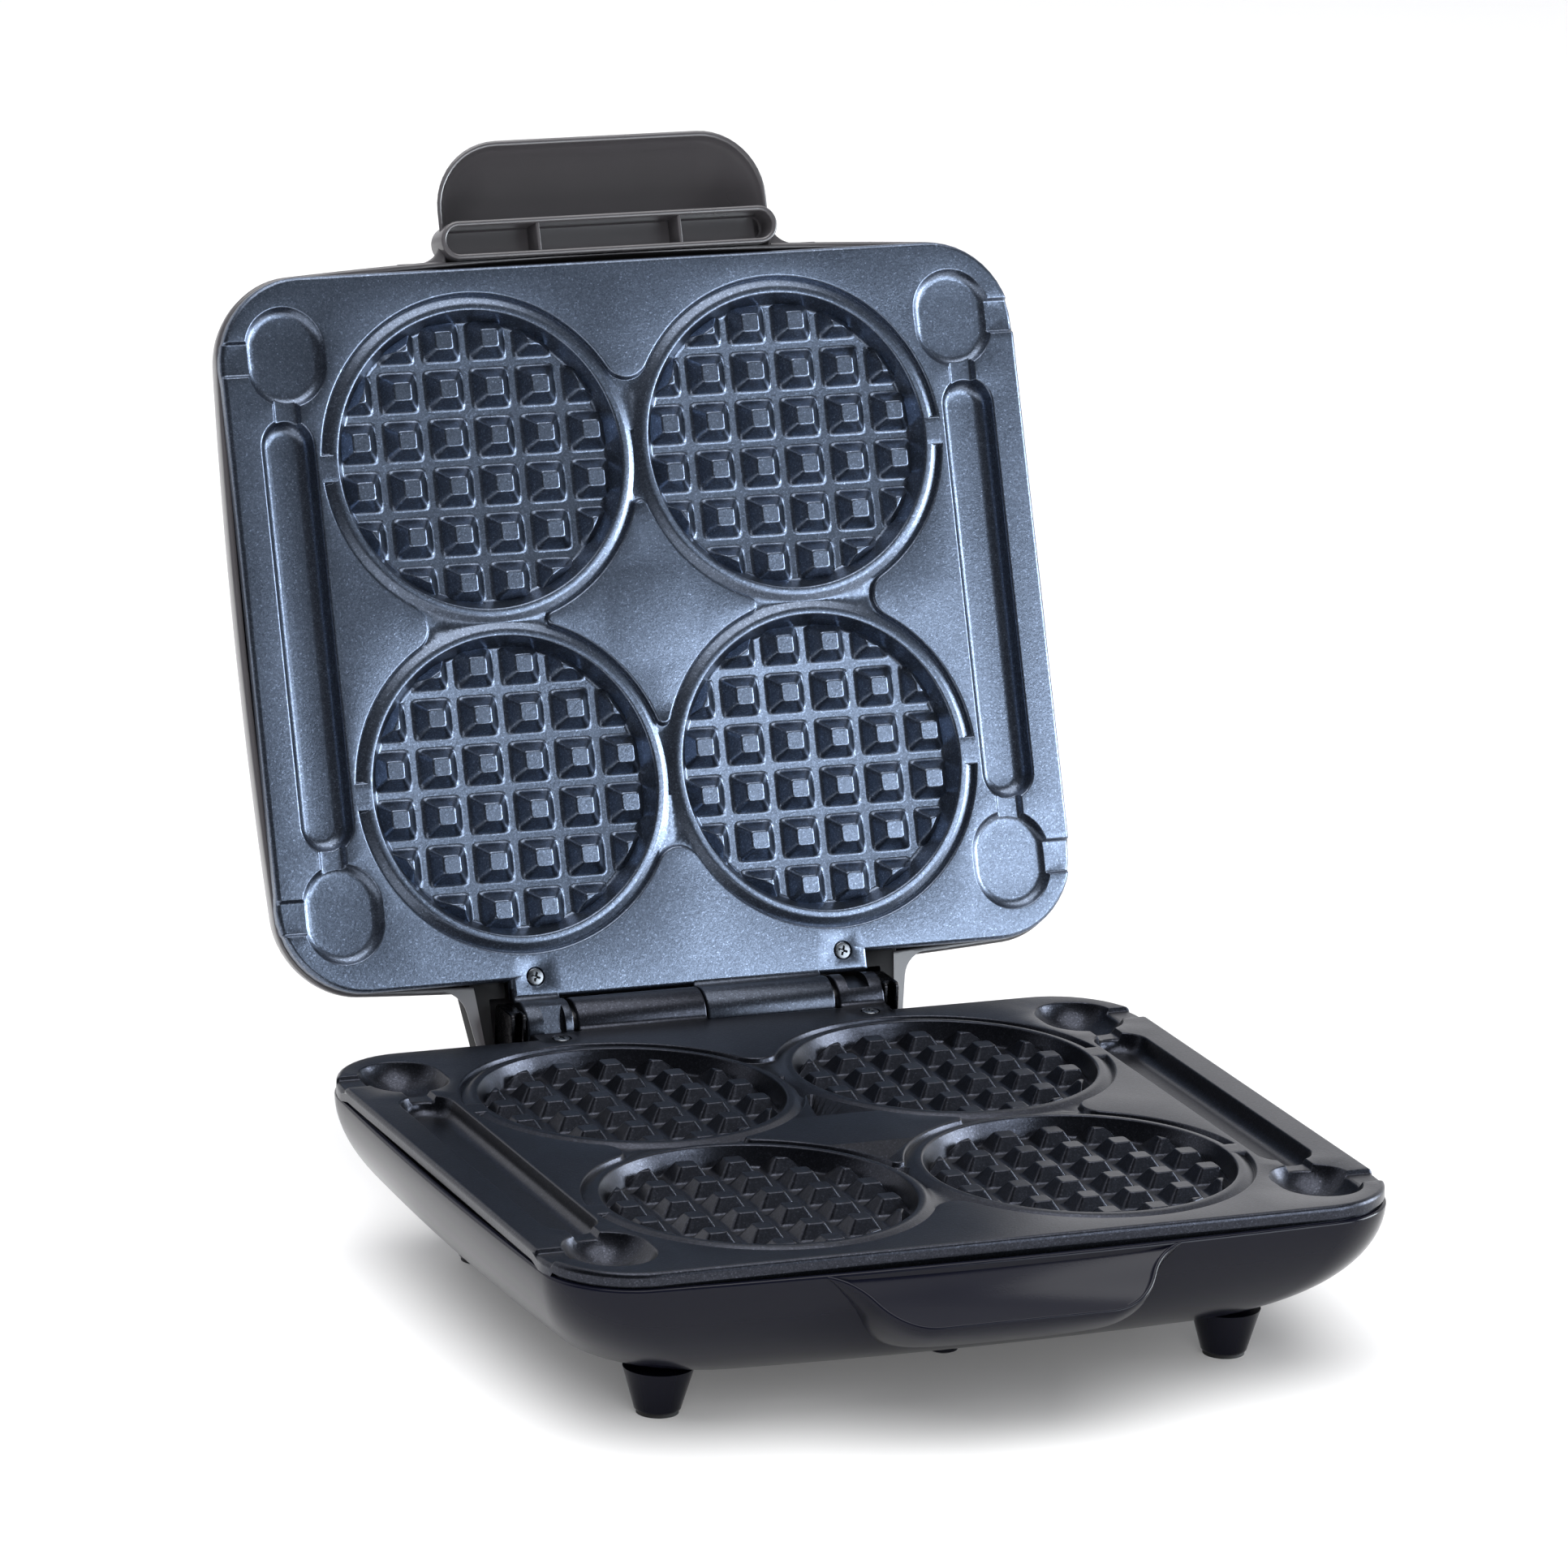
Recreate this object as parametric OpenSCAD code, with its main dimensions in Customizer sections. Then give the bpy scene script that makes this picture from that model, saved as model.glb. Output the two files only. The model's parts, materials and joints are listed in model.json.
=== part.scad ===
// Four-cavity waffle maker, lid open, in millimetres.
// +X runs along the hinge, -Y is the handle side, +Z is up, feet stand on z = 0.
// Base pieces are drawn round the middle of the base; lid pieces are drawn closed and
// then swung open about the hinge. Both are shifted so that the origin lies under the
// middle of the open appliance.

/* [Cooking plates] */
// Width of a cooking plate along the hinge
plate_w = 297; // [290:1:304]
// Depth of a cooking plate from handle to hinge
plate_d = 249; // [242:1:256]
// Corner radius of a cooking plate
plate_r = 30; // [26:1:34]
// Thickness of the plate's flange
plate_t = 4; // [3.5:0.5:5]
// Gap between the two plates when shut
plate_gap = 1; // [0.6:0.1:2]
// Radius of a waffle cavity's floor
floor_r = 48.8; // [47:0.1:49]
// Depth of a waffle cavity's floor below the plate's face
floor_depth = 7; // [6:0.5:8]
// Height of the pegs that print the grid
peg_h = 5; // [4:0.5:5.5]
// Distance between neighbouring pegs
peg_pitch = 17; // [16.5:0.1:17.2]

/* [Shells] */
// Overhang of a shell's rim past the sides of its plate
side_overhang = 2; // [1.5:0.1:3]
// Overhang of a shell's rim past the front and back of its plate
front_overhang = 4.5; // [4:0.1:5]
// How far the sides of a shell bow outward between its corners
side_bow = 3.5; // [2:0.5:4]
// How far the front and back of a shell bow outward
front_bow = 5.5; // [4:0.5:6]
// Depth of a shell from plate face to flat
shell_h = 52.5; // [48:0.5:54]
// Width of the shell's rounded side
side_bend = 66; // [50:1:75]
// Wall thickness of the shells
wall = 2.3; // [2:0.1:2.4]
// Length of the lid's grip past the plate's edge
grip_len = 45; // [38:1:50]
// Half the width of the lid's grip
grip_half = 61; // [55:1:66]

/* [Stand] */
// Height of the lower plate's face above the table
plate_z = 62.5; // [60:0.5:68]
// Distance of a foot from the middle, across
foot_x = 101; // [92:1:104]
// Distance of a foot from the middle, front to back
foot_y = 82; // [74:1:84]

/* [Hinge] */
// Distance of the hinge axis behind the middle of the plates
hinge_y = 141.5; // [140:0.5:143]
// Depth of the hinge axis below the lower plate's face
hinge_drop = 1.3; // [0.5:0.1:2]
// Radius of the cast hinge barrels
barrel_r = 9.5; // [9:0.1:10]
// Radius of the steel hinge tube
tube_r = 6; // [5:0.5:6.5]
// How far the lid stands open
open_angle = 111; // [90:1:112]

/* [Hidden] */
$fn = 64;
hull_fn = 32;
eps = 0.01;
// Middle of the open appliance, front to back, from the middle of the base
frame_shift = 62.14;

hinge_z = plate_z - hinge_drop;
shell_w = plate_w + 2 * side_overhang;
shell_d = plate_d + 2 * front_overhang;
shell_r = plate_r - 3;
rim_drop = 5.3;                      // shell rim below the plate's face
lid_face_z = plate_z + plate_gap;

// Cavities and wells of a plate
cavity_x = 57.4;
cavity_y = 57.1;
rim_r = 52.2;                        // inside of the raised ring round a cavity
rim_w = 2;
ledge_r = 58.4;
ledge_depth = 1.5;
casting_wall = 3;
groove_bottom = 4.3;                 // valley between two pegs
groove_top = 11.6;
stick_x = 127.4;
stick_w = 19.6;
stick_len = 151;
stick_depth = 7;
well_x = 125;
well_y = 96.8;
well_w = 29;
well_len = 35;
bowl_r = 16;                         // spherical bowls of the lower plate
bowl_rise = 7;
flat_well_depth = 3;
vent_w = 12;
vent_depth = 1.5;
channel_w = 10;
channel_depth = 2;

// Hinge
tab_half = 66.5;
tab_y = 131.2;
web_y = 128.1;                       // front of the webs that carry the barrels
barrel_gap = 0.25;
barrel_len = 48;
knuckle_in = 49.5;
running = 0.06;
clip_t = 1.4;
cradle_half = 66;
stop_gap = 0.3;
arm_in = 69.5;
arm_out = 83;
housing_clear = 12;                  // empty radius round the hinge inside the lid

// Inside
element_r = 3.3;
element_half = 62;
element_bend = 22;
element_z = -(floor_depth + casting_wall) - element_r;
reflector_w = 236;
reflector_d = 200;
reflector_t = 0.8;
reflector_rim = 6.4;
boss_h = 14;                         // bosses behind a plate hold its reflector
boss_places = [[104, 0], [-104, 0], [0, 80], [0, -80]];
boss_r = 4;
boss_end = -plate_t - boss_h - 0.1;
screw_r = 1.5;
screw_head_h = 2.5;
hinge_screw_x = 57.5;
hinge_screw_y = 123.8;
screw_head_r = 3;

// Colours
glitter = [0.31, 0.34, 0.41];
glitter_dark = [0.17, 0.18, 0.22];
graphite = [0.27, 0.26, 0.27];
gloss_black = [0.12, 0.12, 0.14];
deep_black = [0.06, 0.06, 0.07];
steel = [0.68, 0.69, 0.71];
bright = [0.8, 0.8, 0.82];

// ---------------------------------------------------------------- placement

module base_frame() translate([0, -frame_shift, 0]) children();

module lid_frame()
    translate([0, hinge_y - frame_shift, hinge_z])
        rotate([-open_angle, 0, 0])
            translate([0, -hinge_y, -hinge_z]) children();

// The lower plate's frame has its origin on the plate's face
module lower_face() base_frame() translate([0, 0, plate_z]) children();

// The upper plate is the same casting turned over about the front-to-back line
module upper_face() lid_frame() translate([0, 0, lid_face_z]) rotate([0, 180, 0]) children();

// The same, but not mirrored left to right, with +Z still away from the food
module upper_back() lid_frame() translate([0, 0, lid_face_z]) children();

module at_bosses() for (p = boss_places) translate([p[0], p[1], 0]) children();

module at_corners(x, y) for (sx = [-1, 1], sy = [-1, 1]) translate([sx * x, sy * y, 0]) children();

// ---------------------------------------------------------------- outlines

module rounded_rect(w, d, r) {
    square([w - 2 * r, d], center = true);
    square([w, d - 2 * r], center = true);
    for (sx = [-1, 1], sy = [-1, 1])
        translate([sx * (w / 2 - r), sy * (d / 2 - r)]) circle(r);
}

module obround(w, len) {
    square([w, len - w], center = true);
    for (s = [-1, 1]) translate([0, s * (len - w) / 2]) circle(w / 2);
}

// Corners and edge points of a rounded rectangle with bowed edges; a hull joins them
module slab(w, d, r, z, t = 0.1)
    translate([0, 0, z]) linear_extrude(t) {
        for (sx = [-1, 1], sy = [-1, 1])
            translate([sx * (w / 2 - side_bow - r), sy * (d / 2 - front_bow - r)])
                circle(r, $fn = hull_fn);
        for (at = [-0.5, 0, 0.5], side = [-1, 1]) {
            translate([side * (w / 2 - side_bow * at * at - 1), at * d / 2]) square(2, center = true);
            translate([at * w / 2, side * (d / 2 - front_bow * at * at - 1)]) square(2, center = true);
        }
    }

// Bowl whose side is a quarter ellipse; rim at z = 0, flat at z = -h; shrink moves it inward
module bowl(shrink = 0) {
    steps = 8;
    h = shell_h - rim_drop - shrink;
    hull()
        for (i = [0 : steps]) {
            a = 90 * i / steps;
            inset = shrink + (side_bend - shrink) * (1 - cos(a));
            slab(shell_w - 2 * inset, shell_d - 2 * inset, shell_r - shrink, -0.1 - (h - 0.1) * sin(a));
        }
}

// ---------------------------------------------------------------- cooking plates

module grid_grooves() {
    count = 5;
    long = 2 * floor_r + 4;
    for (turn = [0, 90], i = [-(count - 1) / 2 : (count - 1) / 2])
        rotate([0, 0, turn]) translate([i * peg_pitch, long / 2, 0]) rotate([90, 0, 0])
            linear_extrude(long)
                polygon([[-groove_bottom / 2, -floor_depth], [groove_bottom / 2, -floor_depth],
                         [groove_top / 2, eps - floor_depth + peg_h],
                         [-groove_top / 2, eps - floor_depth + peg_h]]);
}

module waffle_cavity() {
    peg_top = floor_depth - peg_h;
    mid_r = rim_r - (rim_r - floor_r) * peg_top / floor_depth;
    translate([0, 0, -peg_top]) cylinder(h = peg_top + eps, r1 = mid_r, r2 = rim_r);
    intersection() {
        translate([0, 0, -floor_depth]) cylinder(h = peg_h + eps, r1 = floor_r, r2 = mid_r);
        grid_grooves();
    }
}

module ledges() {
    difference() {
        translate([0, 0, -ledge_depth]) linear_extrude(ledge_depth + 1)
            for (sx = [-1, 1], sy = [-1, 1])
                translate([sx * cavity_x, sy * cavity_y]) circle(ledge_r);
        at_corners(cavity_x, cavity_y)
            translate([0, 0, -ledge_depth - 1]) cylinder(h = 4, r = rim_r + rim_w);
        for (s = [-1, 1])
            at_corners(0, cavity_y) translate([s * (cavity_x + rim_r + 3), 0, 0])
                cube([8, 10, 4], center = true);
    }
}

module capsule_bowl() {
    half = (well_len - well_w) / 2;
    translate([0, 0, bowl_rise]) {
        for (s = [-1, 1]) translate([0, s * half, 0]) sphere(bowl_r);
        rotate([90, 0, 0]) cylinder(h = 2 * half, r = bowl_r, center = true);
    }
}

module wells(deep) {
    at_corners(well_x, well_y)
        if (deep) capsule_bowl();
        else translate([0, 0, -flat_well_depth]) linear_extrude(flat_well_depth + 1)
            obround(well_w, well_len);
    for (s = [-1, 1]) translate([s * stick_x, 0, -stick_depth])
        linear_extrude(stick_depth + 1) obround(stick_w, stick_len);
    for (sx = [-1, 1], sy = [-1, 1]) {
        translate([sx * (well_x + 20), sy * well_y, 0])
            cube([24, vent_w, 2 * vent_depth], center = true);
        translate([sx * stick_x, sy * (stick_len / 2 + 2), 0])
            cube([channel_w, 14, 2 * channel_depth], center = true);
    }
}

// One half of the hinge: a long barrel on one side, a short knuckle on the other
module hinge_half(axis_h, bore) {
    difference() {
        union() {
            for (span = [[-barrel_len, -barrel_gap], [knuckle_in, tab_half]]) {
                translate([span[0], hinge_y, axis_h]) rotate([0, 90, 0])
                    cylinder(h = span[1] - span[0], r = barrel_r);
                translate([span[0], web_y, -plate_t - 1.2])
                    cube([span[1] - span[0], hinge_y - web_y, plate_t + 1]);
            }
        }
        translate([-tab_half - 1, hinge_y, axis_h]) rotate([0, 90, 0])
            cylinder(h = 2 * tab_half + 2, r = bore);
        translate([knuckle_in + 4, hinge_y - barrel_r - 1, axis_h + 4])
            cube([8, 2 * barrel_r + 2, barrel_r]);
    }
}

module casting_blank() {
    back = floor_depth + casting_wall;
    translate([0, 0, -plate_t]) linear_extrude(plate_t) {
        rounded_rect(plate_w, plate_d, plate_r);
        translate([-tab_half, 0]) square([2 * tab_half, tab_y]);
    }
    at_corners(cavity_x, cavity_y)
        translate([0, 0, -back]) cylinder(h = back - 1, r = floor_r + casting_wall);
    for (s = [-1, 1]) translate([s * stick_x, 0, -stick_depth - casting_wall])
        linear_extrude(stick_depth + casting_wall - 1)
            obround(stick_w + 2 * casting_wall, stick_len + 2 * casting_wall);
}

module well_cups()
    at_corners(well_x, well_y) translate([0, 0, -bowl_r + bowl_rise - casting_wall])
        linear_extrude(bowl_r - bowl_rise + casting_wall - 1) obround(well_w - 1, well_len - 1);

module cooking_plate(axis_h, bore, deep) {
    difference() {
        union() {
            casting_blank();
            if (deep) well_cups();
        }
        ledges();
        at_corners(cavity_x, cavity_y) waffle_cavity();
        wells(deep);
        for (s = [-1, 1]) translate([s * hinge_screw_x, hinge_screw_y, -plate_t - 1])
            cylinder(h = plate_t + 2, r = 1.7);
        for (s = [-1, 1]) translate([s * hinge_screw_x, hinge_screw_y, -1.2])
            cylinder(h = 2, r = screw_head_r + 0.4);
    }
    hinge_half(axis_h, bore);
    at_bosses() difference() {
        translate([0, 0, boss_end + 0.1]) cylinder(h = boss_h + 0.5, r = boss_r);
        translate([0, 0, boss_end - 1]) cylinder(h = boss_h, r = screw_r + 0.1);
    }
}

module lower_cooking_plate()
    color(glitter_dark) lower_face() cooking_plate(-hinge_drop, tube_r + 0.02, true);

module upper_cooking_plate()
    color(glitter) upper_face() cooking_plate(hinge_drop + plate_gap, tube_r + running, false);

// ---------------------------------------------------------------- heaters behind a plate

// Tubular element: an open rounded square with its two legs turned away from the plate
module heating_element() {
    run = element_half - element_bend;
    translate([0, 0, element_z]) {
        for (s = [-1, 1]) {
            translate([s * element_half, 0, 0]) rotate([90, 0, 0])
                cylinder(h = 2 * run, r = element_r, center = true);
            for (t = [-1, 1]) translate([s * run, t * run, 0])
                rotate([0, 0, s > 0 ? (t > 0 ? 0 : 270) : (t > 0 ? 90 : 180)])
                    rotate_extrude(angle = 90) translate([element_bend, 0]) circle(element_r);
        }
        translate([0, -element_half, 0]) rotate([0, 90, 0])
            cylinder(h = 2 * run, r = element_r, center = true);
        for (s = [-1, 1]) translate([s * (run + 14) / 2, element_half, 0]) rotate([0, 90, 0])
            cylinder(h = run - 14, r = element_r, center = true);
        for (s = [-1, 1]) translate([s * 14, element_half, 0])
            sphere(element_r);
        for (s = [-1, 1]) translate([s * 14, element_half, -8])
            cylinder(h = 8, r = element_r);
    }
}

module element_clips()
    for (turn = [0 : 90 : 270]) rotate([0, 0, turn]) translate([element_half, 0, 0]) {
        if (turn != 90) difference() {
            translate([0, 0, element_z - element_r - 1.2]) linear_extrude(2 * element_r + 1)
                square([4 * element_r, 8], center = true);
            translate([0, 0, element_z]) rotate([90, 0, 0])
                cylinder(h = 20, r = element_r, center = true);
            translate([0, 0, element_z + 5]) cube([2 * element_r, 20, 10], center = true);
        }
    }

// Shallow pan behind the element; its floor lies on the bosses
module heat_reflector() difference() {
    floor_z = boss_end - reflector_t;
    translate([0, 0, floor_z]) linear_extrude(reflector_rim)
        rounded_rect(reflector_w, reflector_d, 20);
    translate([0, 0, boss_end]) linear_extrude(reflector_rim)
        rounded_rect(reflector_w - 2 * reflector_t, reflector_d - 2 * reflector_t, 19);
    for (s = [-1, 1]) translate([s * 14, element_half, floor_z - 1])
        cylinder(h = 4, r = element_r + 1);
    at_bosses() translate([0, 0, floor_z - 1]) cylinder(h = 4, r = screw_r + 0.3);
}

module cross_head_screw(head_z, tip_z) {
    translate([0, 0, head_z - eps]) cylinder(h = tip_z - head_z, r = screw_r);
    translate([0, 0, head_z - screw_head_h]) difference() {
        cylinder(h = screw_head_h, r = screw_head_r);
        for (turn = [0, 90]) rotate([0, 0, turn]) translate([0, 0, 0.4])
            cube([3.6, 0.8, 1.2], center = true);
    }
}

module boss_screws(head_z) at_bosses() cross_head_screw(head_z, -plate_t - 2);

module hinge_screws() for (s = [-1, 1]) translate([s * hinge_screw_x, hinge_screw_y, 0]) {
    difference() {
        translate([0, 0, -1.2]) cylinder(h = 1.4, r = screw_head_r);
        for (turn = [0, 90]) rotate([0, 0, turn + 20]) translate([0, 0, 0.1])
            cube([3.6, 0.8, 1.4], center = true);
    }
    translate([0, 0, -plate_t - 6]) cylinder(h = plate_t + 5, r = 1.6);
}

module lower_heating_element() color(steel) lower_face() heating_element();
module upper_heating_element() color(steel) upper_face() heating_element();
module lower_element_clips() color(bright) lower_face() element_clips();
module upper_element_clips() color(bright) upper_face() element_clips();
module lower_heat_reflector() color(bright) lower_face() heat_reflector();
module upper_heat_reflector() color(bright) upper_face() heat_reflector();
module lower_plate_screws() color(steel) lower_face() boss_screws(post_seat);
module upper_reflector_screws() color(steel) upper_face() boss_screws(boss_end - reflector_t);
module lower_hinge_screws() color(steel) lower_face() hinge_screws();
module upper_hinge_screws() color(steel) upper_face() hinge_screws();

// ---------------------------------------------------------------- base

module base_outer(shrink = 0) translate([0, 0, plate_z - rim_drop]) bowl(shrink);

module base_inner() translate([0, 0, eps]) base_outer(wall);

gland_x = 105;
gland_z = 46;
gland_r = 6;
gland_y = 125.2;
post_seat = -26;                     // seat of the base's screws below the plate's face
post_r = 5;
lug_h = 10;                          // lugs on the wall take the hinge-side screws

module base_shell() color(gloss_black) base_frame() difference() {
    union() {
        difference() {
            base_outer();
            base_inner();
        }
        intersection() {
            base_outer(wall / 2);
            at_bosses() cylinder(h = plate_z + boss_end - reflector_t, r = post_r);
        }
        for (s = [-1, 1])
            translate([s * hinge_screw_x, hinge_screw_y - 1.6, plate_z - plate_t - 0.1 - lug_h / 2])
                cube([8, 8, lug_h], center = true);
    }
    at_bosses() cylinder(h = plate_z, r = screw_r + 0.3);
    at_bosses() cylinder(h = plate_z + post_seat, r = screw_head_r + 0.4);
    for (s = [-1, 1]) translate([s * hinge_screw_x, hinge_screw_y, plate_z - plate_t - lug_h + 2])
        cylinder(h = 20, r = 1.7);
    translate([gland_x, gland_y - 20, gland_z]) rotate([-90, 0, 0]) cylinder(h = 30, r = gland_r);
    at_corners(foot_x, foot_y) cylinder(h = 30, r = 1.8);
    // Room for the hinge side of the lower plate
    translate([0, tab_y + 13, plate_z - 4]) cube([2 * tab_half + 2, 30, 16], center = true);
}

// Sloping scoop under the lid's grip, open at the top, with a thin lip
lip_y = -148;
lip_drop = 19.5;
scoop_half = 58;
lip_half = 32;

module scoop_slab(half, front, z, t)
    translate([0, 0, z]) linear_extrude(t)
        polygon([[-half, -100], [-half + 3, front + 12], [-half + 14, front],
                 [half - 14, front], [half - 3, front + 12], [half, -100]]);

module lower_handle() color(gloss_black) base_frame() difference() {
    hull() {
        scoop_slab(scoop_half, -129, plate_z - rim_drop - 3, 1);
        scoop_slab(lip_half + 14, lip_y, plate_z - lip_drop - 1.5, 1);
        scoop_slab(lip_half + 4, -118, plate_z - 37, 1);
    }
    hull() {
        scoop_slab(scoop_half - 2, -127, plate_z - rim_drop - 1, 4);
        scoop_slab(lip_half + 12, lip_y + 2, plate_z - lip_drop, 4);
        scoop_slab(lip_half + 10, -128, plate_z - lip_drop - 1.5, 1);
    }
    base_outer();
}

module hinge_cradle() color(deep_black) base_frame() difference() {
    reach = hinge_drop + plate_gap + rim_drop - stop_gap;
    // The rear face lies along the lid's rim when the lid is open
    foot_of = function (dz) (reach + cos(open_angle) * -dz) / sin(open_angle);
    translate([-cradle_half, hinge_y, hinge_z]) rotate([90, 0, 90])
        linear_extrude(2 * cradle_half)
            polygon([[-30, -14], [-11, -12.2], [foot_of(-12.2), -12.2], [foot_of(-24), -24],
                     [-30, -24]]);
    base_outer();
}

module foot(sx, sy) color(gloss_black) base_frame() difference() {
    translate([sx * foot_x, sy * foot_y, 1.2]) difference() {
        cylinder(h = 15, r1 = 7.8, r2 = 11.8);
        translate([0, 0, -1]) cylinder(h = 7, r = 4);
        cylinder(h = 30, r = 1.6);
    }
    base_outer();
}

module foot_front_left() foot(-1, -1);
module foot_front_right() foot(1, -1);
module foot_rear_left() foot(-1, 1);
module foot_rear_right() foot(1, 1);

module foot_pads() color(deep_black) base_frame() at_corners(foot_x, foot_y) difference() {
    cylinder(h = 1.2, r = 7);
    translate([0, 0, -1]) cylinder(h = 4, r = 3);
}

module foot_screws() color(steel) base_frame() at_corners(foot_x, foot_y) {
    translate([0, 0, 7.2]) cylinder(h = 12, r = 1.5);
    translate([0, 0, 5]) cylinder(h = 2.2, r = 3);
}

module cord_gland() color(deep_black) base_frame()
    translate([gland_x, gland_y, gland_z]) rotate([-90, 0, 0]) difference() {
        union() {
            translate([0, 0, -10]) cylinder(h = 10, r = gland_r);
            cylinder(h = 3, r1 = gland_r + 2, r2 = gland_r + 1);
            translate([0, 0, -12]) cylinder(h = 2, r = gland_r + 1.5);
        }
        translate([0, 0, -13]) cylinder(h = 20, r = 3.4);
    }

module terminal_block() color([0.85, 0.83, 0.78]) base_frame()
    translate([60, 48, plate_z - shell_h + wall + 0.2]) difference() {
        translate([-11, -8, 0]) cube([22, 16, 10]);
        for (i = [-1 : 1]) translate([i * 6.5, 0, 4]) cylinder(h = 10, r = 1.8);
        for (i = [-1 : 1]) translate([i * 6.5, 0, 5]) rotate([90, 0, 0])
            cylinder(h = 20, r = 1.2, center = true);
    }

module thermal_fuse() color([0.78, 0.76, 0.7]) lower_face()
    translate([0, 16, -floor_depth - casting_wall - 2.4]) rotate([0, 90, 0]) {
        cylinder(h = 14, r = 2.2, center = true);
        cylinder(h = 34, r = 0.6, center = true);
    }

// A straight wire with a bend at each end
module wire(len, bend, r = 1.1) {
    rotate([0, 90, 0]) cylinder(h = len, r = r, center = true);
    for (s = [-1, 1]) translate([s * len / 2, 0, -bend])
        rotate([90, 0, 0]) rotate([0, 0, s > 0 ? 0 : 90])
            rotate_extrude(angle = 90) translate([bend, 0]) circle(r, $fn = 24);
}

module base_wiring() color([0.7, 0.25, 0.2]) base_frame() {
    translate([35, 68, 30]) wire(50, 5);
    translate([35, 62, 30]) wire(46, 4);
    translate([-20, 90, 36]) wire(70, 6);
}

// ---------------------------------------------------------------- hinge

module hinge_tube() color(steel) base_frame()
    translate([0, hinge_y, hinge_z]) rotate([0, 90, 0]) difference() {
        cylinder(h = 2 * tab_half, r = tube_r, center = true);
        cylinder(h = 2 * tab_half + 2, r = tube_r - 1.5, center = true);
    }

module hinge_clips() color(deep_black) base_frame()
    for (s = [-1, 1]) translate([s * (tab_half + clip_t / 2 + 0.2), hinge_y, hinge_z])
        rotate([0, 90, 0]) difference() {
            cylinder(h = clip_t, r = barrel_r - 1.5, center = true);
            cylinder(h = clip_t + 2, r = 3, center = true);
        }

module hinge_harness() color([0.75, 0.72, 0.65]) base_frame()
    translate([0, hinge_y, hinge_z]) rotate([0, 90, 0])
        cylinder(h = 2 * tab_half - 4, r = tube_r - 2, center = true);

// ---------------------------------------------------------------- lid

// Lid pieces are drawn closed: z is measured from the upper plate's face
lid_rim = rim_drop;
grip_rim = 6;
grip_top = 27;
housing_back = hinge_y + housing_clear + wall;
housing_top = 34;
grip_wall_y = 127.2;                 // front of the wall between the grip and the lid

module lid_outer(shrink = 0) translate([0, 0, lid_rim]) mirror([0, 0, 1]) bowl(shrink);

module lid_inner() translate([0, 0, -eps]) lid_outer(wall);

// Plan of the grip, a D with rounded corners; inset shrinks it all round
module grip_plan(inset, z, t, back = -100, pull = 0) {
    front = -(plate_d / 2 + grip_len) + inset + pull;
    half = grip_half - inset - pull / 2;
    corner = 20 - inset;
    translate([0, 0, z]) linear_extrude(t) {
        polygon([[-half - 2, back], [-half, front + corner], [half, front + corner],
                 [half + 2, back]]);
        for (s = [-1, 1]) translate([s * (half - corner), front + corner])
            circle(corner, $fn = hull_fn);
        translate([-half + corner, front]) square([2 * (half - corner), corner]);
    }
}

module grip_outer() hull() {
    grip_plan(0, grip_rim, 2);
    grip_plan(3.5, grip_rim + 9, 1, pull = 4);
    grip_plan(9, grip_top, 1, pull = 16);
}

module grip_inner() hull() {
    grip_plan(2.2, grip_rim - 1, 3, back = -122);
    grip_plan(5.7, grip_rim + 8, 1, back = -122, pull = 4);
    grip_plan(11, grip_top - 3, 1, back = -122, pull = 16);
}

// Hollow over the hinge, wide at the rim and drawn in towards its roof
module housing(side, back, bottom, top) hull()
    for (s = [-1, 1]) {
        translate([s * (side - 6), back - 6, bottom]) cylinder(h = 8, r = 6, $fn = hull_fn);
        translate([s * (side + 1), 110, bottom]) cylinder(h = 8, r = 3, $fn = hull_fn);
        translate([s * (side - 14), back - 8, bottom]) cylinder(h = top * 0.45, r = 6, $fn = hull_fn);
        translate([s * (side - 20), back - 18, bottom]) cylinder(h = top * 0.75, r = 8, $fn = hull_fn);
        translate([s * (side - 10), 105, bottom]) cylinder(h = top, r = 3, $fn = hull_fn);
    }

lens_y = -40;
lens_r = 5;

module lid_shell() color(graphite) upper_back() difference() {
    union() {
        difference() {
            union() {
                lid_outer();
                grip_outer();
                housing(arm_out, housing_back, lid_rim, housing_top);
            }
            lid_inner();
            difference() {
                grip_inner();
                translate([0, 0, -10]) linear_extrude(80) square([400, 2 * grip_wall_y], center = true);
            }
            housing(arm_out - wall, housing_back - wall, lid_rim - 1, housing_top - wall);
        }
        // Posts that take the plate's hinge-side screws
        intersection() {
            housing(arm_out - 1, housing_back - 1, lid_rim, housing_top - 1);
            for (s = [-1, 1]) translate([s * hinge_screw_x, hinge_screw_y, plate_t + 0.1])
                cylinder(h = 40, r = boss_r);
        }
    }
    for (s = [-1, 1]) translate([s * hinge_screw_x, hinge_screw_y, plate_t - 1])
        cylinder(h = 12, r = 1.7);
    translate([0, lens_y, shell_h - 10]) cylinder(h = 20, r = lens_r);
    translate([0, frame_y, 0]) linear_extrude(frame_high) rotate(90) obround(frame_w, frame_len);
}

// Raised ring between the plate and the hollow grip, with two ribs across it
frame_y = -134.3;
frame_w = 13.6;
frame_len = 126;
frame_wall = 2;
frame_low = 1.5;
frame_high = 12;
rib_x = 26.5;

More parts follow.
